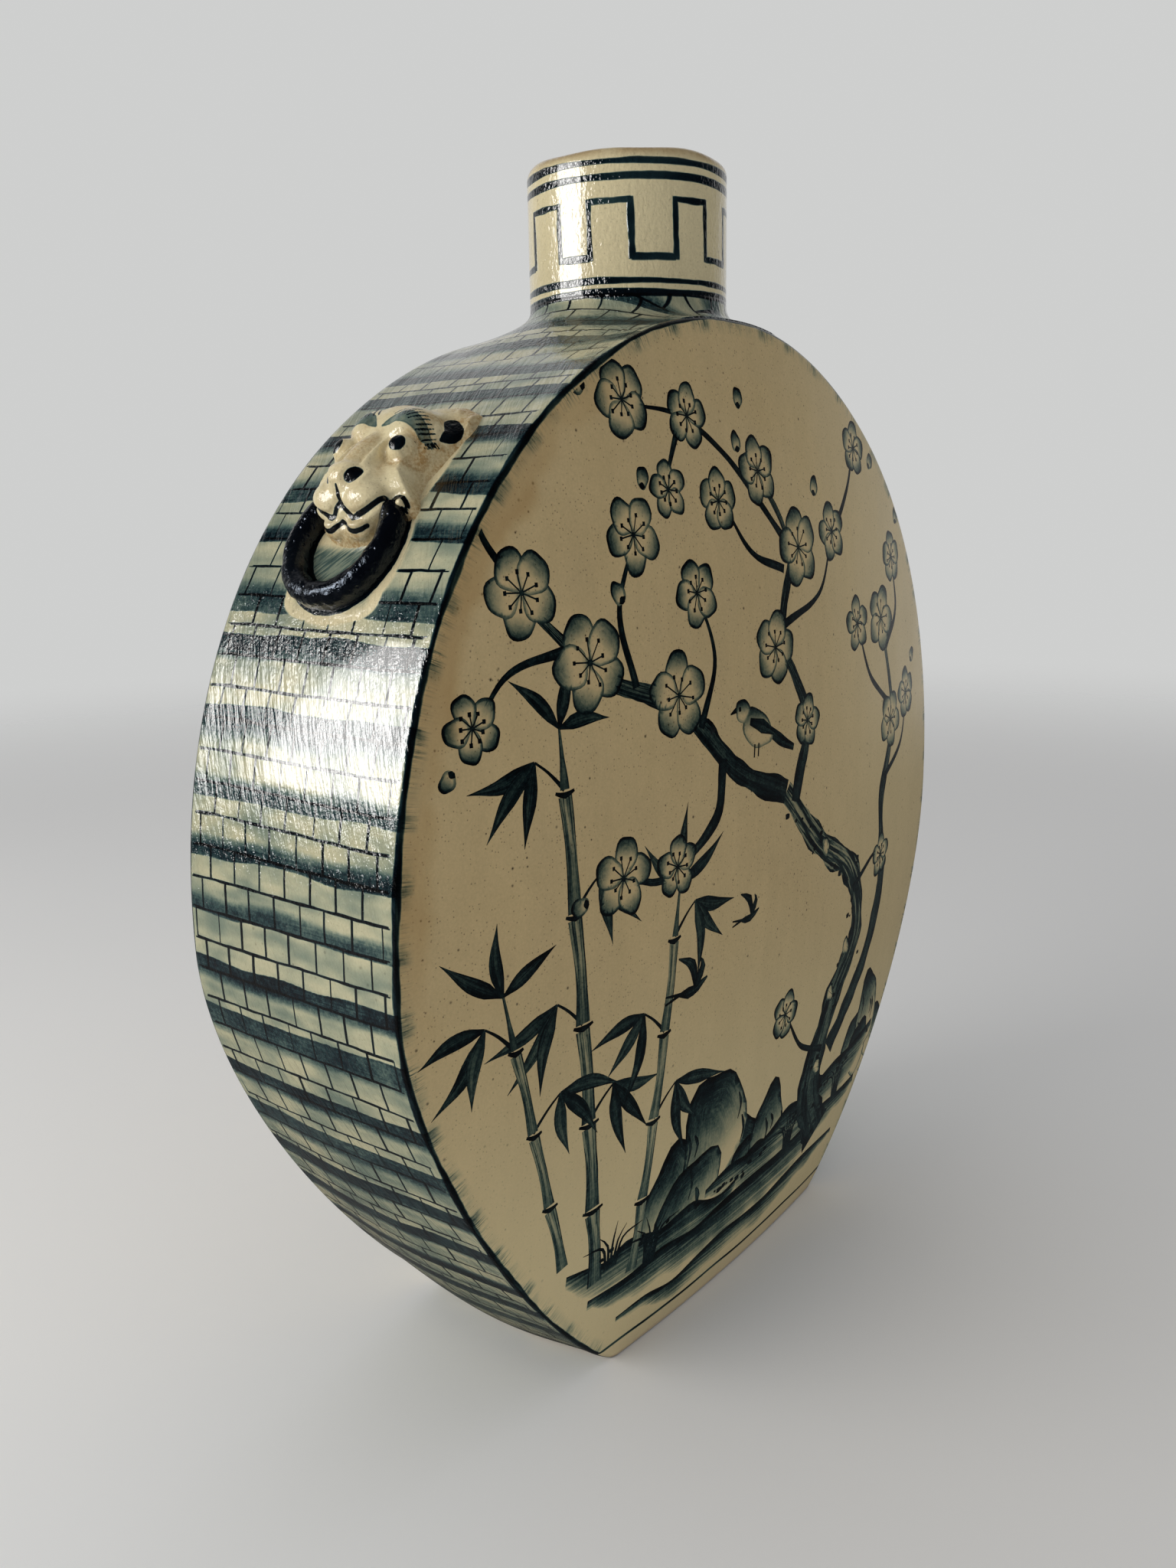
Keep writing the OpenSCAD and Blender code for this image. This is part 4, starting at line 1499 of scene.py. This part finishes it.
# The lion's painted lines on one side, as places in its own frame; the far side is the same
LIP_LINE = ((-17.0, 0.0, 7.2), (-18.6, 1.6, 6.2), (-19.7, 3.6, 4.8), (-18.9, 5.8, 5.0), (-17.5, 9.0, 5.8),
            (-15.4, 11.4, 6.0), (-13.4, 12.8, 5.0), (-12.6, 14.8, 4.4), (-13.2, 16.8, 3.2), (-14.6, 17.0, 2.2),
            (-15.0, 15.4, 2.4))
PHILTRUM = ((-14.6, 0.0, 10.6), (-16.0, 0.0, 8.8), (-17.4, 0.0, 7.1))
LOW_LIP_LINE = ((-20.9, 0.0, 4.2), (-22.0, 1.8, 3.6), (-22.4, 3.8, 2.8), (-21.6, 5.8, 2.6), (-20.0, 7.6, 2.4))
EAR_COMMA = ((12.9, 13.7, 2.6), (11.0, 15.6, 2.6), (9.0, 16.4, 2.8), (6.4, 15.3, 3.4))
BROW = ((4.9, 1.2, 11.0), (6.5, 3.4, 10.6), (7.7, 5.8, 10.0), (7.4, 8.4, 9.0), (5.9, 11.2, 7.2), (4.0, 13.4, 6.0),
        (2.8, 15.4, 4.6))
BROW_HALF = (0.2, 1.4, 2.1, 2.0, 1.6, 1.3, 0.4)
BROW_TEETH = ((11.8, 4.6, 9.0), (11.4, 7.8, 8.2), (9.2, 11.6, 6.8), (6.6, 14.4, 5.3), (3.8, 17.0, 3.6))


def press_together(piece, forms, voxel, rounds):
    """The forms are joined to the piece, made one skin, and rubbed smooth."""
    balls = [add_ball(*form) for form in forms]
    deselect()
    for ball in balls:
        ball.select_set(True)
    joined = piece or balls[0]
    joined.select_set(True)
    bpy.context.view_layer.objects.active = joined
    bpy.ops.object.join()
    skin = joined.modifiers.new("skin", "REMESH")
    skin.mode = "VOXEL"
    skin.voxel_size = voxel * MM
    soft = joined.modifiers.new("soft", "SMOOTH")
    soft.factor = 0.5
    soft.iterations = rounds
    apply_all(joined)
    return joined


def trim_below(piece, level):
    """What lies deep inside the body is cut away, and the cut is closed."""
    pick(piece)
    bpy.ops.object.mode_set(mode="EDIT")
    bpy.ops.mesh.select_all(action="SELECT")
    bpy.ops.mesh.bisect(plane_co=(0, 0, level * MM), plane_no=(0, 0, -1), use_fill=True, clear_outer=True)
    bpy.ops.object.mode_set(mode="OBJECT")


def tube_way(points, path, halves):
    """How far points are from a tube along the path; inside it the distance is below 0."""
    share = run_lengths(path) / run_lengths(path)[-1]
    half = np.interp(share, np.linspace(0, 1, len(halves)), halves)
    best = np.full(len(points), 99.0)
    for a, b, wide, wide_next in zip(path[:-1], path[1:], half[:-1], half[1:]):
        run = b - a
        t = np.clip(((points - a) @ run) / max(run @ run, 1e-9), 0, 1)
        away = np.linalg.norm(points - a - t[:, None] * run, axis=1)
        best = np.minimum(best, away - wide - t * (wide_next - wide))
    return best


class Skin:
    """A piece's surface, on which painted paths are laid."""

    def __init__(self, mesh):
        faces = [tuple(face.vertices) for face in mesh.polygons]
        self.tree = BVHTree.FromPolygons([Vector(p) for p in coordinates(mesh)], faces)

    def path(self, knots, step=0.8):
        """A smooth path through the knots, each of its points moved onto the surface."""
        return np.array([tuple(self.tree.find_nearest(Vector(p))[0]) for p in smooth_path(knots, step)])


def nostril_way(points):
    """How far points are from the nostrils' ovals; the hand that made them set the far one lower."""
    best = np.full(len(points), 99.0)
    for side, middle in ((-1, (-12.2, 4.3, 11.4)), (1, (-12.6, 5.3, 11.4))):
        rel = points * np.array([1, side, 1]) - np.array(middle)
        long_axis = np.array([0.85, 0.5, -0.1])
        along = rel @ long_axis
        rest = np.linalg.norm(rel - along[:, None] * long_axis, axis=1)
        best = np.minimum(best, (np.hypot(along / 2.75, rest / 1.6) - 1) * 1.6)
    return best


def slope_to_edge(mesh):
    """Near its edge the mask slopes down onto the band."""
    points = coordinates(mesh)
    edge = np.array(MASK_EDGE) - np.array([MASK_HUB, 0])
    x, y = points[:, 0] - MASK_HUB, np.abs(points[:, 1])
    reach = np.interp(np.arctan2(y, x), np.arctan2(edge[:, 1], edge[:, 0]), np.hypot(edge[:, 0], edge[:, 1]))
    band = -points[:, 0] ** 2 / (2 * BAND_CURVE)
    high = np.maximum(points[:, 2] - band, 0)
    zone = 0.9 + 0.4 * high
    share = np.clip((np.hypot(x, y) - reach + zone) / zone, 0, 1)
    points[:, 2] -= share ** 2 * (3 - 2 * share) * (high + 0.5)
    set_coordinates(mesh, points)


def lion_lines(mesh):
    """The lion's painted marks on its surface, as distances from each point."""
    nostril = nostril_way(coordinates(mesh))
    p = coordinates(mesh)
    p[:, 1] = np.abs(p[:, 1])
    skin = Skin(mesh)
    pupil_at = skin.path([(-1.2, 10.5, 10.4), (-1.2, 10.5, 10.4)])[0]
    pupil = np.linalg.norm(p - pupil_at, axis=1) - 2.15
    lips = tube_way(p, skin.path(LIP_LINE), (0.62, 0.62, 0.7, 0.6, 0.62, 0.6, 0.55))
    philtrum = tube_way(p, skin.path(PHILTRUM), (0.3, 0.55, 0.62))
    low_lip = tube_way(p, skin.path(LOW_LIP_LINE), (0.5, 0.6, 0.6, 0.45))
    comma = tube_way(p, skin.path(EAR_COMMA), (1.9, 2.3, 2.0, 0.6))
    return skin, p, pupil, nostril, lips, philtrum, low_lip, comma


def lion_paint(mesh):
    """Where the lion's black marks, its brow's wash and its warm hollows lie."""
    skin, p, pupil, nostril, lips, philtrum, low_lip, comma = lion_lines(mesh)
    marks = np.minimum.reduce([pupil, nostril, lips, philtrum, low_lip, comma])
    brow = tube_way(p, skin.path(BROW, 1.0), BROW_HALF)
    luck = random.Random(5)
    teeth = smooth_path(BROW_TEETH, 1.15)
    for tip in teeth:
        foot = tip + np.array([-2.1, -1.4, 2.2]) * (1.0 + 0.4 * luck.random())
        marks = np.minimum(marks, tube_way(p, skin.path([tuple(foot), tuple(tip)]), (0.16, 0.24, 0.12)))
    side = p[:, :2]
    beside = tube_way(side, np.array([(-2.0, 5.8), (-9.0, 7.6)]), (0.5, 0.5))
    hollow = np.minimum(np.abs(np.hypot(side[:, 0] + 0.7, side[:, 1] - 9.5) - 4.6), beside)
    ear = np.hypot((side[:, 0] - 9.5) / 1.3, side[:, 1] - 15.5)
    hollow = np.minimum(hollow, np.abs(ear - 4.2))
    warm = np.clip(1 - hollow / 1.8, 0, 1) * np.clip((10 - p[:, 2]) / 4, 0, 1)
    bridge = np.clip(1.4 - np.abs(side[:, 1]) / 4, 0, 1) * np.clip((side[:, 0] + 12) / 5, 0, 1)
    warm = np.maximum(warm, bridge * np.clip((3 - side[:, 0]) / 4, 0, 1) * 0.6)
    lower = np.clip((-p[:, 2] + 4.0) / 4, 0, 1) * 0.7
    set_point_vectors(mesh, "marks", np.stack([marks, brow, np.maximum(warm, lower)], axis=1))


def carve_lion(mesh):
    """Nostrils, mouth, ear hollows and pupils are pressed in, and the lips stand up beside their line."""
    points = coordinates(mesh)
    normals = np.zeros(len(mesh.vertices) * 3)
    mesh.vertices.foreach_get("normal", normals)
    normals = normals.reshape(-1, 3)
    _, _, pupil, nostril, lips, philtrum, low_lip, comma = lion_lines(mesh)

    def dent(way, width, depth):
        return depth * np.exp(-(np.maximum(way, 0) / width) ** 2)

    press = (dent(lips, 0.7, 0.75) + dent(philtrum, 0.6, 0.5) + dent(nostril, 0.6, 0.9)
             + dent(low_lip, 0.6, 0.4) + dent(comma, 1.0, 0.7) - dent(pupil, 0.5, 0.22))
    from_eye = np.linalg.norm(points * np.array([1, 0, 1]) + np.abs(points) * np.array([0, 1, 0])
                              - np.array([-0.7, 9.5, 7.1]), axis=1)
    press += 0.45 * np.exp(-((from_eye - 4.5) / 0.8) ** 2) * np.clip((points[:, 2] - 4) / 2, 0, 1)
    set_coordinates(mesh, points - normals * press[:, None])


def lion_mask(material):
    """The left lion: balls pressed together, smoothed, and carved."""
    place, _ = shoulder_frame(MASK_Z)
    deselect()
    piece = press_together(None, lion_forms(), 0.8, 22)
    piece.name = "left_lion_mask_pressed"
    trim_below(piece, -4.5)
    piece = press_together(piece, lion_features(), 0.45, 6)
    slope_to_edge(piece.data)
    carve_lion(piece.data)
    lion_paint(piece.data)
    turned = place.copy()
    turned.translation *= MM
    piece.data.transform(turned)
    press_on_band(piece.data)
    piece.data.materials.append(material)
    smooth(piece, 180)
    return piece


def ring_handle(material):
    """The left ring: a rod on a skirt, spun about the ring's middle and open at the lion's mouth."""
    place, _ = shoulder_frame(MASK_Z - RING_DROP)
    deselect()
    bpy.ops.mesh.primitive_circle_add(vertices=28, radius=ROD_R * MM, fill_type="NOTHING")
    piece = bpy.context.object
    piece.name = "left_ring_handle_fired"
    mesh = piece.data
    section = coordinates(mesh)
    # The circle becomes a rod's section with a foot that reaches the band
    low = section[:, 1] < 0
    radial = section[:, 0] * np.where(low, 1.0, 1.0)
    lift = np.where(low, section[:, 1] * 1.9, section[:, 1]) + ROD_LIFT
    section = np.stack([RING_R + radial, np.zeros(len(section)), lift], axis=1)
    set_coordinates(mesh, section)
    start = MOUTH_ANGLE / 2
    sweep = 2 * math.pi - MOUTH_ANGLE
    pick(piece)
    bpy.ops.object.mode_set(mode="EDIT")
    bpy.ops.mesh.select_all(action="SELECT")
    bpy.ops.mesh.edge_face_add()
    bpy.ops.mesh.spin(steps=150, angle=sweep, center=(0, 0, 0), axis=(0, 0, 1))
    bpy.ops.mesh.select_all(action="SELECT")
    bpy.ops.mesh.remove_doubles(threshold=1e-6)
    bpy.ops.mesh.normals_make_consistent(inside=False)
    bpy.ops.object.mode_set(mode="OBJECT")
    mesh.transform(Matrix.Rotation(-start, 4, "Z"))
    skin = piece.modifiers.new("skin", "REMESH")
    skin.mode = "VOXEL"
    skin.voxel_size = 0.4 * MM
    soft = piece.modifiers.new("soft", "SMOOTH")
    soft.factor = 0.5
    soft.iterations = 4
    lumps = bpy.data.textures.new("ring_lumps", "CLOUDS")
    lumps.noise_scale = 3.5 * MM
    dents = piece.modifiers.new("lumps", "DISPLACE")
    dents.texture = lumps
    dents.texture_coords = "LOCAL"
    dents.strength = -0.7 * MM
    dents.mid_level = 0.35
    apply_all(piece)
    turned = place.copy()
    turned.translation = (turned.translation + Vector((0, RING_SIDE, 0))) * MM
    mesh = piece.data
    mesh.transform(turned)
    press_on_band(mesh)
    mesh.materials.append(material)
    smooth(piece, 180)
    return piece


def mirrored(piece, name):
    """The same piece on the other side, with its own mesh."""
    mesh = piece.data.copy()
    mesh.transform(Matrix.Diagonal((-1, 1, 1, 1)))
    mesh.flip_normals()
    other = bpy.data.objects.new(name, mesh)
    bpy.context.scene.collection.objects.link(other)
    return other


# The camera, the lamps and the room
CAMERA_AT = (-319.059, -233.7035, 245.378)
CAMERA_YAW = 0.9019
CAMERA_PITCH = 0.2171
CAMERA_ROLL = -0.0189
CAMERA_LENS = 28.99
SENSOR = 36
WINDOW_AZIMUTH = 156.5
GLINT_AZIMUTH = 148.1
WINDOW_ELEVATION = 17
WINDOW_AWAY = 0.99
GLINT_AHEAD = 0.02
WINDOW_SIZE = (0.75, 0.43)
GLINT_SIZE = (0.5, 0.43)
WINDOW_POWER = 4.8
GLINT_POWER = 10.5


def place_camera():
    """The camera where the photograph was taken from."""
    forward = Vector((math.sin(CAMERA_YAW) * math.cos(CAMERA_PITCH),
                      math.cos(CAMERA_YAW) * math.cos(CAMERA_PITCH), -math.sin(CAMERA_PITCH)))
    level = Vector((math.cos(CAMERA_YAW), -math.sin(CAMERA_YAW), 0))
    upright = level.cross(forward)
    right = math.cos(CAMERA_ROLL) * level + math.sin(CAMERA_ROLL) * upright
    up = math.cos(CAMERA_ROLL) * upright - math.sin(CAMERA_ROLL) * level
    data = bpy.data.cameras.new("photo_camera")
    data.lens = CAMERA_LENS
    data.sensor_width = SENSOR
    data.clip_start = 0.01
    camera = bpy.data.objects.new("photo_camera", data)
    bpy.context.scene.collection.objects.link(camera)
    turned = Matrix((right, up, -forward)).transposed().to_4x4()
    camera.matrix_world = Matrix.Translation(Vector(CAMERA_AT) * MM) @ turned
    bpy.context.scene.camera = camera


def add_window(name, power, glossy):
    """A soft rectangular lamp, aimed at the middle of the flask; it lights either gloss or all the rest."""
    target = Vector((0, 0, 0.17))
    a = math.radians(GLINT_AZIMUTH if glossy else WINDOW_AZIMUTH)
    e = math.radians(WINDOW_ELEVATION)
    away = Vector((math.cos(a) * math.cos(e), math.sin(a) * math.cos(e), math.sin(e)))
    data = bpy.data.lights.new(name, "AREA")
    data.shape = "RECTANGLE"
    data.size, data.size_y = GLINT_SIZE if glossy else WINDOW_SIZE
    data.energy = power
    data.color = (1.0, 0.985, 0.96)
    lamp = bpy.data.objects.new(name, data)
    bpy.context.scene.collection.objects.link(lamp)
    lamp.location = target + away * (WINDOW_AWAY - (GLINT_AHEAD if glossy else 0))
    lamp.rotation_euler = (-away).to_track_quat("-Z", "Y").to_euler()
    lamp.visible_diffuse = not glossy
    lamp.visible_glossy = glossy


def paper_floor():
    """A plain pale sheet under the flask."""
    deselect()
    bpy.ops.mesh.primitive_circle_add(vertices=96, radius=4, fill_type="NGON", location=(0, 0, -0.0003))
    floor = bpy.context.object
    floor.name = "paper_floor"
    material, tree, shader, point = new_material("pale_paper")
    cloud = noise(point, 1.2, 2)
    color = mixed(cloud.ramp(0.3, 0.7), (0.84, 0.84, 0.83, 1), (0.87, 0.87, 0.86, 1))
    # Painted shade: in gloss the floor shows dark grey, which darkens its reflection on the glaze.
    paths = tree.nodes.new("ShaderNodeLightPath")
    color = mixed(Wire(tree, paths.outputs["Is Glossy Ray"]), color, (0.11, 0.11, 0.11, 1))
    plug(tree, color, shader.inputs["Base Color"])
    shader.inputs["Roughness"].default_value = 0.85
    shader.inputs["Specular IOR Level"].default_value = 0.2
    x, y, _ = separate(point)
    reach = (x * x + y * y).power(0.5)
    plug(tree, reach.ramp(1.7, 0.65), shader.inputs["Alpha"])
    floor.data.materials.append(material)


def room_light():
    """Even light from all round; gloss shows a pale wall behind the flask and a darker room in front."""
    world = bpy.data.worlds.new("room")
    bpy.context.scene.world = world
    world.use_nodes = True
    tree = world.node_tree
    background = tree.nodes["Background"]
    paths = tree.nodes.new("ShaderNodeLightPath")
    place = tree.nodes.new("ShaderNodeTexCoord")
    x, y, z = separate(Wire(tree, place.outputs["Generated"]))
    behind = x * 0.785 + y * 0.62
    gloss = mixed(behind.ramp(0.38, 0.9), (0.018, 0.018, 0.02, 1), (0.6, 0.6, 0.595, 1))
    even = mixed(behind.ramp(-0.3, 0.75), (0.36, 0.36, 0.365, 1), (0.74, 0.74, 0.745, 1))
    color = mixed(Wire(tree, paths.outputs["Is Glossy Ray"]), even, gloss)
    color = mixed(Wire(tree, paths.outputs["Is Camera Ray"]), color, (0.62, 0.625, 0.62, 1))
    plug(tree, color, background.inputs["Color"])
    background.inputs["Strength"].default_value = 1.0


def build():
    place_camera()
    room_light()
    paper_floor()
    add_window("window_light", WINDOW_POWER, False)
    add_window("window_glint", GLINT_POWER, True)
    cream, tan, neck = cream_glaze(), tan_glaze(), neck_glaze()
    lion, ring, clay = lion_glaze(), black_glaze(), bare_clay()
    face_panel("front_panel_painted", "front_panel", True, plum_and_bamboo(11, False), (tan, cream), clay)
    face_panel("back_panel_painted", "back_panel", False, plum_and_bamboo(23, True), (tan, cream), clay)
    wall_strip("left_wall_bricked", "left_wall", -1, cream, clay)
    wall_strip("right_wall_bricked", "right_wall", 1, cream, clay)
    neck_collar(neck)
    mask = lion_mask(lion)
    finish_piece(mirrored(mask, "right_lion_mask_pressed"), "cream_glaze", "right_lion_mask")
    finish_piece(mask, "cream_glaze", "left_lion_mask")
    handle = ring_handle(ring)
    finish_piece(mirrored(handle, "right_ring_handle_fired"), "black_glaze", "right_ring_handle")
    finish_piece(handle, "black_glaze", "left_ring_handle")
    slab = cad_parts["base_slab"]
    slab.data.materials.clear()
    slab.data.materials.append(clay)


build()
bpy.context.scene.view_settings.view_transform = "Standard"
